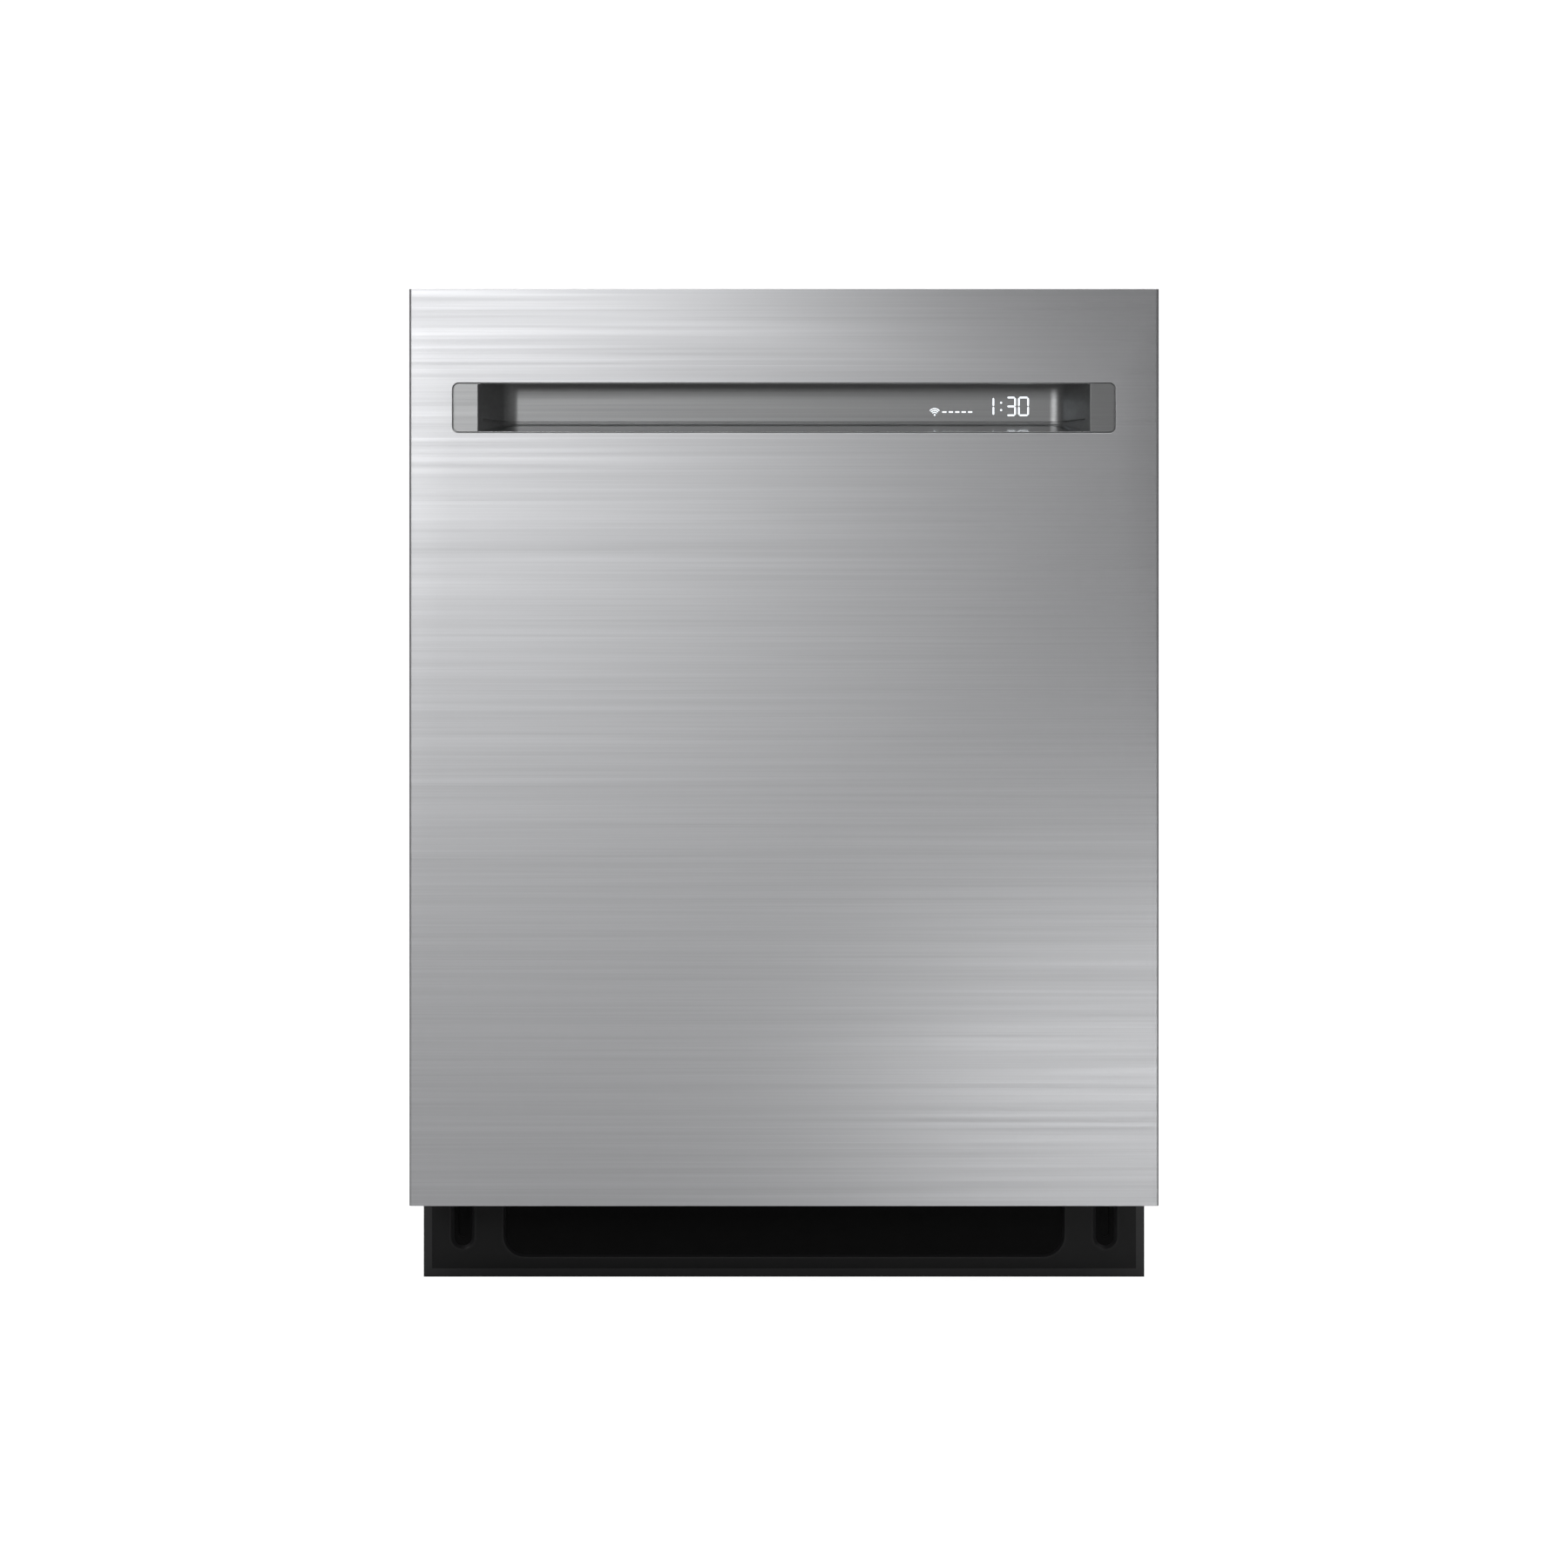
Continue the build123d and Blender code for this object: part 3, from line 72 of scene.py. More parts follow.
# ---------------------------------------------------------------- studio
# A white seamless paper sweep, a wide soft light high on the left, a low strip light on the right,
# one light overhead and one behind, and a camera three metres in front of the door, level with
# the machine's middle.
DOOR_FACE_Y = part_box("outer_door_panel")[0].y
CAMERA_DISTANCE = 3.0
CAMERA_HEIGHT = 0.408
FRAMED_WIDTH = 1.2668
SENSOR_WIDTH = 36

camera = bpy.data.objects.new("camera", bpy.data.cameras.new("camera"))
scene.collection.objects.link(camera)
camera.location = (0, DOOR_FACE_Y - CAMERA_DISTANCE, CAMERA_HEIGHT)
camera.rotation_euler = (math.pi / 2, 0, 0)
camera.data.sensor_width = SENSOR_WIDTH
camera.data.lens = SENSOR_WIDTH * CAMERA_DISTANCE / FRAMED_WIDTH
camera.data.clip_end = 50
scene.camera = camera


def soft_light(name, place, target, size, power):
    """A rectangular soft box aimed at a point."""
    lamp = bpy.data.objects.new(name, bpy.data.lights.new(name, "AREA"))
    lamp.data.shape = "RECTANGLE"
    lamp.data.size, lamp.data.size_y = size
    lamp.data.energy = power
    lamp.location = place
    aim = Vector(target) - Vector(place)
    lamp.rotation_euler = aim.to_track_quat("-Z", "Y").to_euler()
    lamp.visible_camera = False
    scene.collection.objects.link(lamp)


soft_light("key light", (-1.2, -3.35, 1.4), (-1.2, 0, 1.4), (2.0, 1.3), 23)
soft_light("low fill", (0.81, -1.61, 0.08), (0.81, 0, 0.08), (1.3, 0.1), 1.85)
soft_light("top light", (0, 0.4, 3.2), (0, 0, 0.4), (2.6, 2.6), 30)
soft_light("back light", (-1.2, 3.4, 1.8), (0, 0.3, 0.4), (2.4, 1.8), 30)

# The room: white to the eye. What it lights by is bright overhead and dim level with the floor,
# so that upward faces are clear while the door mirrors little but the two front lights.
world = bpy.data.worlds.new("studio air")
world.use_nodes = True
air = world.node_tree
air.nodes["Background"].inputs["Color"].default_value = (1, 1, 1, 1)
eye = air.nodes.new("ShaderNodeLightPath")
heading = air.nodes.new("ShaderNodeTexCoord")
parts = air.nodes.new("ShaderNodeSeparateXYZ")
overhead = air.nodes.new("ShaderNodeMapRange")
overhead.interpolation_type = "SMOOTHSTEP"
overhead.inputs["From Min"].default_value = 0.5
overhead.inputs["From Max"].default_value = 0.9
overhead.inputs["To Min"].default_value = 0.1
overhead.inputs["To Max"].default_value = 1.5
level = air.nodes.new("ShaderNodeMix")
level.inputs["B"].default_value = 1.0
air.links.new(heading.outputs["Generated"], parts.inputs["Vector"])
air.links.new(parts.outputs["Z"], overhead.inputs["Value"])
air.links.new(overhead.outputs["Result"], level.inputs["A"])
air.links.new(eye.outputs["Is Camera Ray"], level.inputs["Factor"])
air.links.new(level.outputs["Result"], air.nodes["Background"].inputs["Strength"])
scene.world = world


def plain_mesh(name, points, faces):
    """A mesh object from its corners and faces, linked to the scene."""
    mesh = bpy.data.meshes.new(name)
    mesh.from_pydata([tuple(p) for p in points], [], faces)
    mesh.update()
    obj = bpy.data.objects.new(name, mesh)
    scene.collection.objects.link(obj)
    return obj


SWEEP_HALF, SWEEP_BACK, SWEEP_RADIUS, SWEEP_TOP = 9.0, 5.0, 2.0, 9.0
SWEEP_STEPS = 12
sweep_profile = [(-SWEEP_HALF, 0.0), (SWEEP_BACK, 0.0)]
for step in range(1, SWEEP_STEPS + 1):
    turn = math.radians(90 * step / SWEEP_STEPS)
    rise = SWEEP_RADIUS * (1 - math.cos(turn))
    sweep_profile.append((SWEEP_BACK + SWEEP_RADIUS * math.sin(turn), rise))
sweep_profile.append((SWEEP_BACK + SWEEP_RADIUS, SWEEP_TOP))
sweep_points = [(side * SWEEP_HALF, y, z) for y, z in sweep_profile for side in (-1, 1)]
sweep_faces = [(2 * i, 2 * i + 1, 2 * i + 3, 2 * i + 2) for i in range(len(sweep_profile) - 1)]
paper = plain_mesh("paper sweep", sweep_points, sweep_faces)
for face in paper.data.polygons:
    face.use_smooth = True
paper_finish = bpy.data.materials.new("seamless paper")
paper_finish.use_nodes = True
paper_shader = paper_finish.node_tree.nodes["Principled BSDF"]
paper_shader.inputs["Base Color"].default_value = (0.4, 0.4, 0.4, 1)
paper_shader.inputs["Roughness"].default_value = 0.9
paper_shader.inputs["Specular IOR Level"].default_value = 0.1
paper_shader.inputs["Emission Color"].default_value = (1, 1, 1, 1)
paper_nodes, paper_links = paper_finish.node_tree.nodes, paper_finish.node_tree.links
to_eye = paper_nodes.new("ShaderNodeLightPath")
glow = paper_nodes.new("ShaderNodeMath")
glow.operation = "MULTIPLY"
glow.inputs[1].default_value = 0.95
paper_links.new(to_eye.outputs["Is Camera Ray"], glow.inputs[0])
paper_links.new(glow.outputs[0], paper_shader.inputs["Emission Strength"])
paper.data.materials.append(paper_finish)

# ---------------------------------------------------------------- base frame and feet
# Folded zinc-coated sheet rails with two cross members, standing on four threaded feet.
# The rails are welded at their corners; each foot is a moulded pad on a screw.
FINE = (60.0, 60.0, 60.0)


def finish(
    name, colour, rough, metal=0.0, grain=FINE, spread=0.06, bump=0.00004, tint=0.06, edge=0.0006
):
    """A material with noisy wear: grain sets the pattern's repeats per metre on each axis, spread how far
    the roughness wanders, bump its depth in metres, tint how far the colour does, edge the softened
    corner's radius."""
    made = bpy.data.materials.new(name)
    made.use_nodes = True
    nodes, links = made.node_tree.nodes, made.node_tree.links
    shader = nodes["Principled BSDF"]
    shader.inputs["Metallic"].default_value = metal
    place = nodes.new("ShaderNodeTexCoord")
    stretch = nodes.new("ShaderNodeMapping")
    stretch.inputs["Scale"].default_value = grain
    links.new(place.outputs["Object"], stretch.inputs["Vector"])
    noise = nodes.new("ShaderNodeTexNoise")
    noise.inputs["Scale"].default_value = 1.0
    noise.inputs["Detail"].default_value = 6.0
    noise.inputs["Roughness"].default_value = 0.62
    links.new(stretch.outputs["Vector"], noise.inputs["Vector"])
    cloud = nodes.new("ShaderNodeTexNoise")
    cloud.inputs["Scale"].default_value = 7.0
    cloud.inputs["Detail"].default_value = 3.0
    links.new(place.outputs["Object"], cloud.inputs["Vector"])
    rough_range = nodes.new("ShaderNodeMapRange")
    rough_range.inputs["To Min"].default_value = max(0.02, rough - spread)
    rough_range.inputs["To Max"].default_value = min(1.0, rough + spread)
    links.new(noise.outputs["Fac"], rough_range.inputs["Value"])
    links.new(rough_range.outputs["Result"], shader.inputs["Roughness"])
    shade = nodes.new("ShaderNodeMix")
    shade.data_type = "RGBA"
    shade.inputs["A"].default_value = (*[c * (1 - tint) for c in colour], 1)
    shade.inputs["B"].default_value = (*[min(1, c * (1 + tint)) for c in colour], 1)
    links.new(cloud.outputs["Fac"], shade.inputs["Factor"])
    links.new(shade.outputs["Result"], shader.inputs["Base Color"])
    relief = nodes.new("ShaderNodeBump")
    relief.inputs["Distance"].default_value = bump
    relief.inputs["Strength"].default_value = 1.0
    links.new(noise.outputs["Fac"], relief.inputs["Height"])
    if edge:
        round_edge = nodes.new("ShaderNodeBevel")
        round_edge.samples = 4
        round_edge.inputs["Radius"].default_value = edge
        links.new(round_edge.outputs["Normal"], relief.inputs["Normal"])
    links.new(relief.outputs["Normal"], shader.inputs["Normal"])
    return made


SLOT_OF = {row["node"]: row["material_slot"] for row in frame["record"]["subparts"]}


def settle(obj, body, slot, *nodes):
    """Fixes a finished piece to its body, in place of the CAD nodes it stands for."""
    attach(obj, body)
    if nodes:
        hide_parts(*nodes)
    return obj


def smoothed(node, skin, angle=35.0, weld=0.00001):
    """The CAD piece with its facets welded and its curved faces shaded round."""
    source = frame["nodes"][node]
    obj = bpy.data.objects.new(node + "_made", source.data.copy())
    scene.collection.objects.link(obj)
    shape = bmesh.new()
    shape.from_mesh(obj.data)
    bmesh.ops.remove_doubles(shape, verts=shape.verts, dist=weld)
    bmesh.ops.dissolve_limit(shape, angle_limit=math.radians(0.5), verts=shape.verts, edges=shape.edges)
    for face in shape.faces:
        face.smooth = True
    for edge in shape.edges:
        edge.smooth = len(edge.link_faces) == 2 and edge.calc_face_angle(4.0) < math.radians(angle)
    shape.to_mesh(obj.data)
    shape.free()
    obj.data.materials.clear()
    obj.data.materials.append(skin)
    return settle(obj, source["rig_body"], SLOT_OF[node], node)


zinc = finish("zinc coated sheet", (0.55, 0.57, 0.6), 0.42, 1.0, (90, 25, 90), 0.12, 0.00003, 0.12)
for rail_piece in ("base_frame", "hinge_brackets", "strike_plate", "countertop_brackets", "hinge_arms"):
    smoothed(rail_piece, zinc)
foot_plastic = finish("moulded foot", (0.16, 0.16, 0.17), 0.55)
for foot in ("foot_front_left", "foot_front_right", "foot_rear_left", "foot_rear_right"):
    smoothed(foot, foot_plastic)

# ---------------------------------------------------------------- tub
# Polished stainless sheet: a wrapped top and sides, a welded back, a pressed floor and the
# flange the door closes on. The inside keeps the rolling direction's faint grain.
def brushed(name, colour, rough, along, streak=0.08, spread=0.03, bump=0.000003, edge=0.0008):
    """Stainless steel brushed along one axis (0, 1 or 2): fine scratches over broader ones, in its
    shade and roughness, with the finest of them in its relief too."""
    made = bpy.data.materials.new(name)
    made.use_nodes = True
    nodes, links = made.node_tree.nodes, made.node_tree.links
    shader = nodes["Principled BSDF"]
    shader.inputs["Metallic"].default_value = 1.0
    place = nodes.new("ShaderNodeTexCoord")
    layers = []
    for length, across, detail in ((4.0, 900.0, 2.0), (2.5, 420.0, 2.0), (1.5, 170.0, 1.0)):
        stretch = nodes.new("ShaderNodeMapping")
        scale = [length if axis == along else across for axis in range(3)]
        stretch.inputs["Scale"].default_value = scale
        noise = nodes.new("ShaderNodeTexNoise")
        noise.inputs["Scale"].default_value = 1.0
        noise.inputs["Detail"].default_value = detail
        links.new(place.outputs["Object"], stretch.inputs["Vector"])
        links.new(stretch.outputs["Vector"], noise.inputs["Vector"])
        layers.append(noise.outputs["Fac"])
    total = layers[0]
    for layer in layers[1:]:
        both = nodes.new("ShaderNodeMath")
        both.operation = "ADD"
        links.new(total, both.inputs[0])
        links.new(layer, both.inputs[1])
        total = both.outputs[0]
    grain = nodes.new("ShaderNodeMapRange")
    grain.inputs["From Min"].default_value = 1.05
    grain.inputs["From Max"].default_value = 1.95
    links.new(total, grain.inputs["Value"])
    shade = nodes.new("ShaderNodeMix")
    shade.data_type = "RGBA"
    shade.inputs["A"].default_value = (*[c * (1 - streak) for c in colour], 1)
    shade.inputs["B"].default_value = (*[c * (1 + streak) for c in colour], 1)
    links.new(grain.outputs["Result"], shade.inputs["Factor"])
    links.new(shade.outputs["Result"], shader.inputs["Base Color"])
    rough_range = nodes.new("ShaderNodeMapRange")
    rough_range.inputs["To Min"].default_value = rough + spread
    rough_range.inputs["To Max"].default_value = rough - spread
    links.new(grain.outputs["Result"], rough_range.inputs["Value"])
    links.new(rough_range.outputs["Result"], shader.inputs["Roughness"])
    relief = nodes.new("ShaderNodeBump")
    relief.inputs["Distance"].default_value = bump
    links.new(layers[0], relief.inputs["Height"])
    round_edge = nodes.new("ShaderNodeBevel")
    round_edge.samples = 4
    round_edge.inputs["Radius"].default_value = edge
    links.new(round_edge.outputs["Normal"], relief.inputs["Normal"])
    links.new(relief.outputs["Normal"], shader.inputs["Normal"])
    return made


tub_steel = brushed("tub stainless", (0.62, 0.63, 0.64), 0.25, 1)
for tub_piece in ("tub_wrap", "tub_back", "tub_floor", "front_frame"):
    smoothed(tub_piece, tub_steel)

# ---------------------------------------------------------------- insulation blanket
# Bitumen-backed fibre felt wrapped over the tub's top and sides and held by its own stiffness.
felt = finish("fibre felt", (0.17, 0.165, 0.16), 0.92, 0.0, (220, 220, 220), 0.05, 0.0008, 0.25, 0.002)
blanket = smoothed("insulation_blanket", felt)

# ---------------------------------------------------------------- pumps, sump and filters
# Moulded sump and pump housings under the floor, with a mesh plate and a twist-out filter cup.
moulding = finish("moulded polypropylene", (0.27, 0.28, 0.29), 0.5)
smoothed("sump", moulding)
pump_black = finish("pump housing", (0.045, 0.045, 0.05), 0.45)
for pump in ("circulation_pump", "drain_pump"):
    smoothed(pump, pump_black)
valve_white = finish("valve body", (0.7, 0.7, 0.67), 0.4)
smoothed("inlet_valve", valve_white)
smoothed("junction_box", zinc)
mesh_steel = finish("filter mesh", (0.5, 0.51, 0.52), 0.35, 1.0, (700, 700, 700), 0.15, 0.0003, 0.2)
for strainer in ("fine_filter", "coarse_filter"):
    smoothed(strainer, mesh_steel)
heater_sheath = finish("heater sheath", (0.28, 0.26, 0.25), 0.38, 1.0, (120, 120, 120), 0.1, 0.00003, 0.2)
smoothed("heating_element", heater_sheath)
grey_moulding = finish("grey tube moulding", (0.42, 0.43, 0.45), 0.42)
for tube in ("feed_tube", "upper_manifold"):
    smoothed(tube, grey_moulding)
for arm in ("lower_spray_arm", "upper_spray_arm", "ceiling_spray_arm"):
    smoothed(arm, grey_moulding)

# ---------------------------------------------------------------- hoses
# Rubber inlet hose and a corrugated drain hose that rises to a high loop on the back sheet.
inlet_rubber = finish("reinforced rubber", (0.03, 0.03, 0.033), 0.6)
smoothed("inlet_hose", inlet_rubber)


def routed_tree(name):
    """Geometry nodes that turn a chain of edges into a round bar with rounded corners and rings."""
    tree = bpy.data.node_groups.new(name, "GeometryNodeTree")
    tree.is_modifier = True
    face = tree.interface
    face.new_socket("Route", in_out="INPUT", socket_type="NodeSocketGeometry")
    lengths = {"Radius": 0.002, "Corner": 0.01, "Ring Height": 0.0, "Ring Pitch": 0.01}
    lengths["Spacing"] = 0.05
    for label, value in lengths.items():
        face.new_socket(label, in_out="INPUT", socket_type="NodeSocketFloat").default_value = value
    for label, value in {"Sides": 10, "Corner Steps": 6}.items():
        face.new_socket(label, in_out="INPUT", socket_type="NodeSocketInt").default_value = value
    face.new_socket("Skin", in_out="INPUT", socket_type="NodeSocketMaterial")
    face.new_socket("Bar", in_out="OUTPUT", socket_type="NodeSocketGeometry")
    nodes, links = tree.nodes, tree.links
    given = nodes.new("NodeGroupInput")
    line = nodes.new("GeometryNodeMeshToCurve")
    corner = nodes.new("GeometryNodeFilletCurve")
    corner.mode = "POLY"
    corner.inputs["Limit Radius"].default_value = True
    links.new(given.outputs["Route"], line.inputs["Mesh"])
    links.new(line.outputs["Curve"], corner.inputs["Curve"])
    links.new(given.outputs["Corner"], corner.inputs["Radius"])
    links.new(given.outputs["Corner Steps"], corner.inputs["Count"])
    ringed = nodes.new("GeometryNodeResampleCurve")
    ringed.mode = "LENGTH"
    links.new(corner.outputs["Curve"], ringed.inputs["Curve"])
    links.new(given.outputs["Spacing"], ringed.inputs["Length"])
    has_rings = nodes.new("FunctionNodeCompare")
    has_rings.operation = "GREATER_THAN"
    links.new(given.outputs["Ring Height"], has_rings.inputs["A"])
    has_rings.inputs["B"].default_value = 0.0
    pick = nodes.new("GeometryNodeSwitch")
    pick.input_type = "GEOMETRY"
    links.new(has_rings.outputs["Result"], pick.inputs["Switch"])
    links.new(corner.outputs["Curve"], pick.inputs["False"])
    links.new(ringed.outputs["Curve"], pick.inputs["True"])
    along = nodes.new("GeometryNodeSplineParameter")
    turns = nodes.new("ShaderNodeMath")
    turns.operation = "DIVIDE"
    links.new(along.outputs["Length"], turns.inputs[0])
    links.new(given.outputs["Ring Pitch"], turns.inputs[1])
    angle = nodes.new("ShaderNodeMath")
    angle.operation = "MULTIPLY"
    angle.inputs[1].default_value = 2 * math.pi
    links.new(turns.outputs[0], angle.inputs[0])
    wave = nodes.new("ShaderNodeMath")
    wave.operation = "COSINE"
    links.new(angle.outputs[0], wave.inputs[0])
    height = nodes.new("ShaderNodeMath")
    height.operation = "MULTIPLY_ADD"
    links.new(wave.outputs[0], height.inputs[0])
    links.new(given.outputs["Ring Height"], height.inputs[1])
    links.new(given.outputs["Radius"], height.inputs[2])
    unit_ring = nodes.new("GeometryNodeCurvePrimitiveCircle")
    unit_ring.inputs["Radius"].default_value = 1.0
    links.new(given.outputs["Sides"], unit_ring.inputs["Resolution"])
    bar = nodes.new("GeometryNodeCurveToMesh")
    bar.inputs["Fill Caps"].default_value = True
    links.new(pick.outputs["Output"], bar.inputs["Curve"])
    links.new(unit_ring.outputs["Curve"], bar.inputs["Profile Curve"])
    links.new(height.outputs[0], bar.inputs["Scale"])
    smooth = nodes.new("GeometryNodeSetShadeSmooth")
    links.new(bar.outputs["Mesh"], smooth.inputs["Geometry"])
    whole = nodes.new("GeometryNodeRealizeInstances")
    links.new(smooth.outputs["Geometry"], whole.inputs["Geometry"])
    coat = nodes.new("GeometryNodeSetMaterial")
    links.new(whole.outputs["Geometry"], coat.inputs["Geometry"])
    links.new(given.outputs["Skin"], coat.inputs["Material"])
    result = nodes.new("NodeGroupOutput")
    links.new(coat.outputs["Geometry"], result.inputs["Bar"])
    return tree


routed = routed_tree("routed round bar")


def route_mesh(name, routes):
    """One object of edge chains. A route is (points, closed)."""
    points, edges = [], []
    for chain, closed in routes:
        first = len(points)
        points += [tuple(p) for p in chain]
        edges += [(first + i, first + i + 1) for i in range(len(chain) - 1)]
        if closed:
            edges.append((len(points) - 1, first))
    mesh = bpy.data.meshes.new(name)
    mesh.from_pydata(points, edges, [])
    obj = bpy.data.objects.new(name, mesh)
    scene.collection.objects.link(obj)
    return obj


def grown(obj, tree, **sizes):
    """The object with a geometry nodes tree's result as its plain mesh."""
    grow = obj.modifiers.new("grow", "NODES")
    grow.node_group = tree
    for item in tree.interface.items_tree:
        label = item.name.replace(" ", "_").lower()
        if item.item_type == "SOCKET" and item.in_out == "INPUT" and label in sizes:
            grow[item.identifier] = sizes[label]
    view = bpy.context.evaluated_depsgraph_get()
    made = bpy.data.meshes.new_from_object(obj.evaluated_get(view), depsgraph=view)
    obj.modifiers.remove(grow)
    obj.data = made
    return obj


HOSE_LOW, HOSE_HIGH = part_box("drain_hose")
HOSE_R, HOSE_END_Z = 9.5 * MM, 130 * MM
hose_y = HOSE_HIGH.y - HOSE_R
hose_left, hose_right = HOSE_LOW.x + HOSE_R, HOSE_HIGH.x - HOSE_R
hose_top = HOSE_HIGH.z - HOSE_R
hose_low = HOSE_LOW.z + HOSE_R
drain_route = [
    (hose_right, HOSE_LOW.y, hose_low),
    (hose_right, hose_y, hose_low),
    (hose_right, hose_y, hose_top),
    (hose_left, hose_y, hose_top),
    (hose_left, hose_y, HOSE_END_Z),
]
HOSE_MEAN_R, RING_HEIGHT, RING_PITCH = 8.6 * MM, 0.9 * MM, 5 * MM
hose_plastic = finish("corrugated hose", (0.3, 0.31, 0.32), 0.5)
drain_hose = route_mesh("corrugated_drain_hose", [(drain_route, False)])
grown(
    drain_hose,
    routed,
    radius=HOSE_MEAN_R,
    corner=45 * MM,
    corner_steps=16,
    ring_height=RING_HEIGHT,
    ring_pitch=RING_PITCH,
    spacing=RING_PITCH / 4,
    sides=20,
    skin=hose_plastic,
)
settle(drain_hose, "cabinet", "hose_grey", "drain_hose")

# ---------------------------------------------------------------- balance mechanism
# Coil springs behind the hinges, pulled together by a rod and a cable over each hinge pulley.
spring_wire = finish("oiled spring wire", (0.3, 0.31, 0.33), 0.3, 1.0)
springs = smoothed("balance_springs", spring_wire)
cables = smoothed("balance_cables", spring_wire)
smoothed("balance_rods", zinc)
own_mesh(springs)
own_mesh(cables)

# ---------------------------------------------------------------- racks
# Bent steel wire, welded and dipped in grey nylon: U-shaped wires both ways, closed rims
# round the outside and upright tines on the floor wires.
coat = finish("nylon wire coat", (0.36, 0.37, 0.39), 0.38, 0.0, FINE, 0.05, 0.00003, 0.05, 0.0)
WIRE, RIM_WIRE = 2.0 * MM, 2.5 * MM
RACK_HALF = 250 * MM
RACK_FRONT, RACK_BACK = -218 * MM, 244 * MM
PITCH = 42
WIRE_XS = [PITCH * (i - 5.5) * MM for i in range(12)]
SIDE_YS = [(-197 + PITCH * i) * MM for i in range(11)]
TINE_YS = [(-120 + PITCH * i) * MM for i in range(8)]
TINE_WIRE, TINE_BEND, TINE_LEAN = 1.6 * MM, 20 * MM, 5 * MM


def deep_wire(x, front, back, floor, top):
    """A U-shaped wire from front to back."""
    return ([(x, front, top), (x, front, floor), (x, back, floor), (x, back, top)], False)


def cross_wire(y, half, floor, top):
    """A U-shaped wire from side to side."""
    return ([(-half, y, top), (-half, y, floor), (half, y, floor), (half, y, top)], False)


def basket_routes(floor, top):
    """U-shaped wires from front to back, and from side to side just under them."""
    routes = [deep_wire(x, RACK_FRONT, RACK_BACK, floor, top) for x in WIRE_XS]
    return routes + [cross_wire(y, RACK_HALF, floor - 2 * WIRE, top) for y in SIDE_YS]


def rim_route(z, half, front, back, out):
    """One closed rim outside the upright wires."""
    x, front, back = half + out, front - out, back + out
    return ([(-x, front, z), (x, front, z), (x, back, z), (-x, back, z)], True)


def wire_piece(name, routes, radius, corner, body, steps=5):
    """Bent and dipped wires as one piece on a body."""
    obj = route_mesh(name, routes)
    grown(obj, routed, radius=radius, corner=corner, corner_steps=steps, sides=10, skin=coat)
    return settle(obj, body, "rack_coat")


outer_xs = [x for x in WIRE_XS if abs(x) > 60 * MM]
inner_xs = [x for x in WIRE_XS if abs(x) < 130 * MM]
for rack, body, floor, top, rims, tine_xs, tine_top in (
    ("lower_rack", "lower_basket", 0.162, 0.291, (0.226, 0.288), outer_xs, 0.231),
    ("upper_rack", "upper_basket", 0.476, 0.593, (0.532, 0.590), inner_xs, 0.530),
):
    basket = wire_piece(rack + "_wires", basket_routes(floor, top), WIRE, 12 * MM, body)
    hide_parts(rack)
    rim_routes = [rim_route(z, RACK_HALF, RACK_FRONT, RACK_BACK, WIRE + RIM_WIRE) for z in rims]
    wire_piece(rack + "_rims", rim_routes, RIM_WIRE, 16 * MM, body)
    tines = []
    for x in tine_xs:
        for y in TINE_YS:
            root, bend = (x, y, floor + WIRE), (x, y, tine_top - TINE_BEND)
            tines.append(([root, bend, (x, y - TINE_LEAN, tine_top)], False))
    wire_piece(rack + "_tines", tines, TINE_WIRE, TINE_BEND, body, 3)

TRAY_HALF, TRAY_FRONT, TRAY_BACK = 248 * MM, -210 * MM, 234 * MM
TRAY_FLOOR, TRAY_TOP = 692 * MM, 718 * MM
TRAY_WIRE, TRAY_RIM = 1.6 * MM, 2 * MM
tray_routes = []
for i in range(14):
    x = 36 * (i - 6.5) * MM
    tray_routes.append(deep_wire(x, TRAY_FRONT, TRAY_BACK, TRAY_FLOOR, TRAY_TOP))
for y in (-0.19, -0.11, -0.03, 0.05, 0.13, 0.214):
    tray_routes.append(cross_wire(y, TRAY_HALF, TRAY_FLOOR - 2 * TRAY_WIRE, TRAY_TOP))
tray = wire_piece("tray_wires", tray_routes, TRAY_WIRE, 8 * MM, "tray")
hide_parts("third_rack")
tray_rim = rim_route(TRAY_TOP, TRAY_HALF, TRAY_FRONT, TRAY_BACK, TRAY_WIRE + TRAY_RIM)
wire_piece("tray_rim", [tray_rim], TRAY_RIM, 14 * MM, "tray")


def blocks(name, spans, skin, body, slot, bevel=0.6 * MM):
    """Moulded or folded blocks, each between two limits on X, Y and Z, with softened corners."""
    shape = bmesh.new()
    for (x0, x1), (y0, y1), (z0, z1) in spans:
        cube = bmesh.ops.create_cube(shape, size=1.0)["verts"]
        middle = Matrix.Translation(((x0 + x1) / 2, (y0 + y1) / 2, (z0 + z1) / 2))
        size = Matrix.Diagonal((abs(x1 - x0), abs(y1 - y0), abs(z1 - z0), 1))
        bmesh.ops.transform(shape, matrix=middle @ size, verts=cube)
    bmesh.ops.bevel(shape, geom=shape.edges[:], offset=bevel, segments=2, affect="EDGES", profile=0.5)
    mesh = bpy.data.meshes.new(name)
    shape.to_mesh(mesh)
    shape.free()
    mesh.materials.append(skin)
    obj = bpy.data.objects.new(name, mesh)
    scene.collection.objects.link(obj)
    return settle(obj, body, slot)


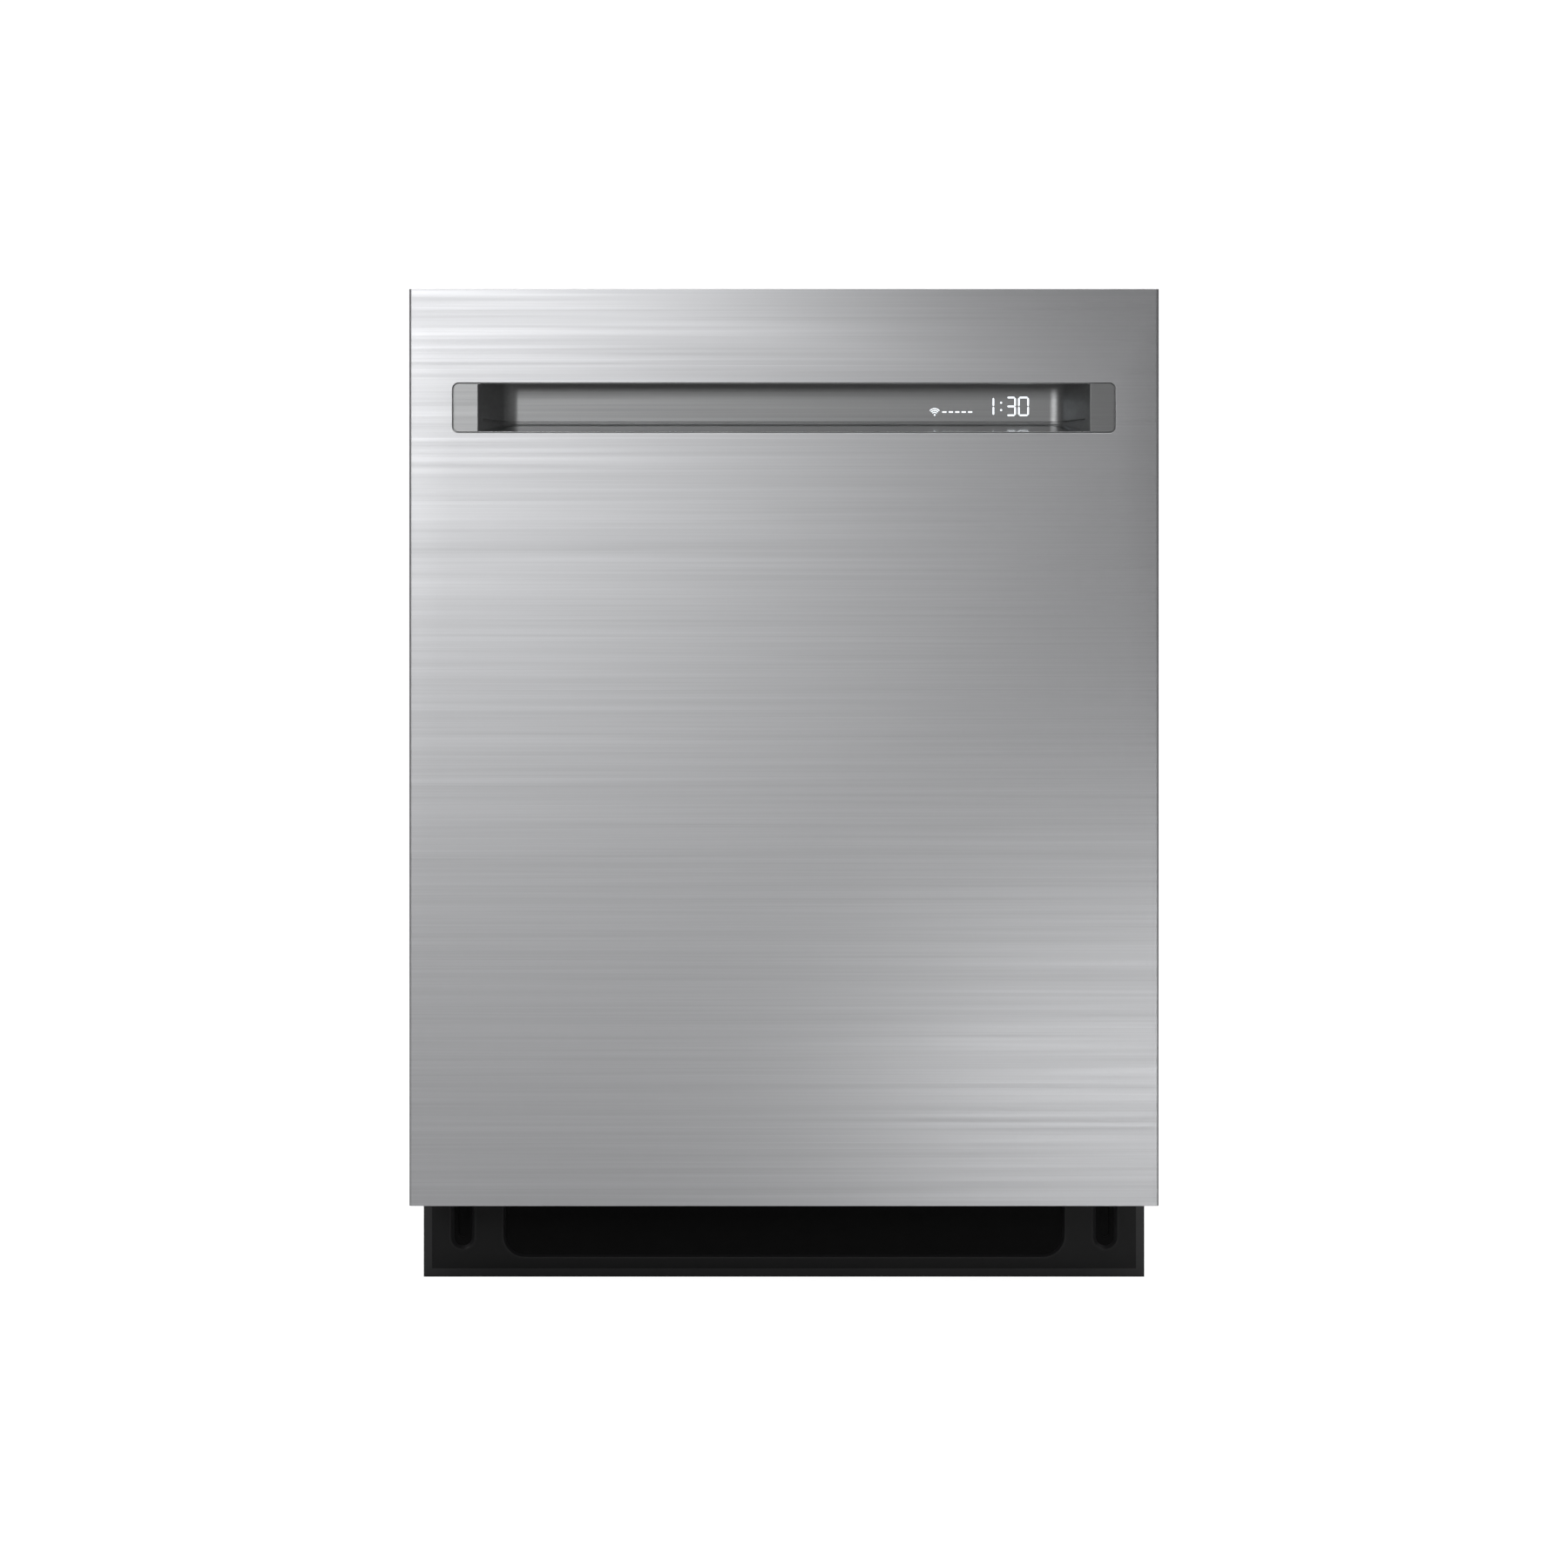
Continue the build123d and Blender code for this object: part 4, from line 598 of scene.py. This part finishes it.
hangers, runners = [], []
for side in (-1, 1):
    for y in (-0.160, 0.185):
        hangers.append(((side * 0.2573, side * 0.2598), (y - 0.009, y + 0.009), (0.141, 0.229)))
        hangers.append(((side * 0.2598, side * 0.2726), (y - 0.0021, y + 0.0021), (0.148, 0.1522)))
    runners.append(((side * 0.2538, side * 0.270), (0.06, 0.216), (0.704, 0.710)))
    runners.append(((side * 0.270, side * 0.281), (0.06, 0.216), (0.7013, 0.7129)))
    runners.append(((side * 0.2538, side * 0.256), (0.06, 0.216), (0.710, 0.722)))
guide_plastic = finish("acetal guide", (0.45, 0.46, 0.47), 0.35)
blocks("wheel_hangers", hangers, guide_plastic, "lower_basket", "rack_coat")
blocks("tray_runners", runners, guide_plastic, "tray", "rack_coat")
smoothed("rack_guides", guide_plastic)
rail_steel = brushed("rail stainless", (0.58, 0.59, 0.6), 0.27, 1)
smoothed("upper_rails", rail_steel)
wheel_plastic = finish("wheel moulding", (0.36, 0.37, 0.38), 0.45)
for wheel in ("wheel_front_left", "wheel_front_right", "wheel_rear_left", "wheel_rear_right"):
    smoothed(wheel, wheel_plastic)
basket_plastic = finish("basket moulding", (0.33, 0.34, 0.36), 0.45)
smoothed("cutlery_basket", basket_plastic)

# ---------------------------------------------------------------- door gasket and seals
# Extruded rubber, pushed into the front frame and clipped along the door's lower edge.
rubber = finish("door rubber", (0.02, 0.02, 0.022), 0.68)
for seal in ("door_gasket", "splash_seal"):
    smoothed(seal, rubber)

# ---------------------------------------------------------------- inner door
# Pressed stainless liner with the dispenser, the vent and the screws that hold the panel.
liner_steel = brushed("liner stainless", (0.7, 0.71, 0.72), 0.3, 2)
smoothed("inner_door_liner", liner_steel)
dispenser_plastic = finish("dispenser moulding", (0.5, 0.51, 0.52), 0.42)
for fitting in ("detergent_dispenser", "door_vent"):
    smoothed(fitting, dispenser_plastic)
lid_plastic = finish("dispenser lid", (0.38, 0.39, 0.41), 0.35)
smoothed("detergent_lid", lid_plastic)
cap_plastic = finish("rinse aid cap", (0.2, 0.24, 0.3), 0.35)
smoothed("rinse_aid_cap", cap_plastic)
latch_nylon = finish("latch nylon", (0.19, 0.195, 0.2), 0.5)
for latch in ("latch_body", "latch_bolt"):
    smoothed(latch, latch_nylon)
screw_plate = finish("plated screw", (0.7, 0.7, 0.7), 0.2, 1.0)
smoothed("door_screws", screw_plate)

# ---------------------------------------------------------------- console
# Black moulded top edge with a touch strip and two keys, hidden when the door is shut.
console_black = finish("console moulding", (0.028, 0.028, 0.03), 0.5)
smoothed("control_console", console_black)
touch_black = finish("touch strip", (0.01, 0.01, 0.012), 0.12, 0.0, FINE, 0.02, 0.000005)
smoothed("touch_panel", touch_black)
key_plastic = finish("key moulding", (0.11, 0.11, 0.115), 0.4)
for key in ("power_button", "start_button"):
    smoothed(key, key_plastic)

# ---------------------------------------------------------------- pocket handle and display
# Brushed pocket behind the slot in the door, with lamps that shine through its back wall. Its up-facing
# lower lip takes a much lighter, smoother copy of the steel: a painted highlight.
handle_steel = brushed("handle pocket steel", (0.35, 0.354, 0.358), 0.36, 0, 0.08)
pocket = smoothed("handle_pocket", handle_steel)
painted_highlight_lip_steel = brushed("pocket lip steel painted highlight", (0.9, 0.905, 0.91), 0.14, 0, 0.04)
POCKET_MIDDLE = 0.71


def recoat(obj, skin, chosen):
    """Gives the faces that pass a test a finish of their own."""
    obj.data.materials.append(skin)
    for face in obj.data.polygons:
        if chosen(face):
            face.material_index = len(obj.data.materials) - 1


# Painted highlight: up-facing faces below the pocket's middle get the much lighter lip steel.
recoat(pocket, painted_highlight_lip_steel, lambda face: face.normal.z > 0.4 and face.center.z < POCKET_MIDDLE)
lamp = bpy.data.materials.new("white lamp")
lamp.use_nodes = True
lamp_shader = lamp.node_tree.nodes["Principled BSDF"]
lamp_shader.inputs["Base Color"].default_value = (0.85, 0.9, 0.95, 1)
lamp_shader.inputs["Roughness"].default_value = 0.4
lamp_shader.inputs["Emission Color"].default_value = (0.9, 0.96, 1.0, 1)
lamp_shader.inputs["Emission Strength"].default_value = 1.15
smoothed("display_digits", lamp)

# ---------------------------------------------------------------- outer door panel
# One sheet of stainless steel, brushed from side to side, folded back along its edges.
door_steel = brushed("brushed door steel", (0.60, 0.605, 0.62), 0.38, 0, 0.08)
smoothed("outer_door_panel", door_steel)

# ---------------------------------------------------------------- toe panel
# Folded black sheet with a broad stamped recess and two screw slots, set back under the door.
toe_black = finish("black enamel", (0.006, 0.006, 0.0065), 0.48, 0.0, FINE, 0.05, 0.00003, 0.1, 0.0009)
toe_black.node_tree.nodes["Principled BSDF"].inputs["Specular IOR Level"].default_value = 0.3
# Painted highlight: the enamel is made a little lighter along every pressed or folded edge, where the
# edges catch the light.
toe_nodes, toe_links = toe_black.node_tree.nodes, toe_black.node_tree.links
toe_shader = toe_nodes["Principled BSDF"]
near_edge = toe_nodes.new("ShaderNodeBevel")
near_edge.samples = 8
near_edge.inputs["Radius"].default_value = 3.5 * MM
flat = toe_nodes.new("ShaderNodeNewGeometry")
bend = toe_nodes.new("ShaderNodeVectorMath")
bend.operation = "DOT_PRODUCT"
toe_links.new(near_edge.outputs["Normal"], bend.inputs[0])
toe_links.new(flat.outputs["Normal"], bend.inputs[1])
edge_highlight_amount = toe_nodes.new("ShaderNodeMapRange")
edge_highlight_amount.inputs["From Min"].default_value = 0.995
edge_highlight_amount.inputs["From Max"].default_value = 0.9
toe_links.new(bend.outputs["Value"], edge_highlight_amount.inputs["Value"])
painted_edge_highlight = toe_nodes.new("ShaderNodeMix")
painted_edge_highlight.data_type = "RGBA"
painted_edge_highlight.inputs["B"].default_value = (0.025, 0.025, 0.026, 1)
toe_links.new(edge_highlight_amount.outputs["Result"], painted_edge_highlight.inputs["Factor"])
toe_links.new(toe_shader.inputs["Base Color"].links[0].from_socket, painted_edge_highlight.inputs["A"])
toe_links.new(painted_edge_highlight.outputs["Result"], toe_shader.inputs["Base Color"])
toe = smoothed("toe_panel", toe_black)
# Painted highlight: the sloped faces of the folds and the stamping get a lighter copy of the enamel, as if
# lit.
lit_enamel_copy = finish("enamel edge painted highlight", (0.022, 0.022, 0.023), 0.4, 0.0, FINE, 0.05, 0.00003, 0.1, 0.0)
# Painted shade: the floor of the stamped recess gets a darker, duller copy of the enamel.
shaded_enamel_copy = finish("shaded enamel", (0.003, 0.003, 0.003), 0.6, 0.0, FINE, 0.05, 0.00003, 0.1, 0.0)
shaded_enamel_copy.node_tree.nodes["Principled BSDF"].inputs["Specular IOR Level"].default_value = 0.12
toe_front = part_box("toe_panel")[0].y
recoat(toe, lit_enamel_copy, lambda face: -0.995 < face.normal.y < -0.05)
recoat(toe, shaded_enamel_copy, lambda face: face.normal.y < -0.995 and face.center.y > toe_front + 0.003)
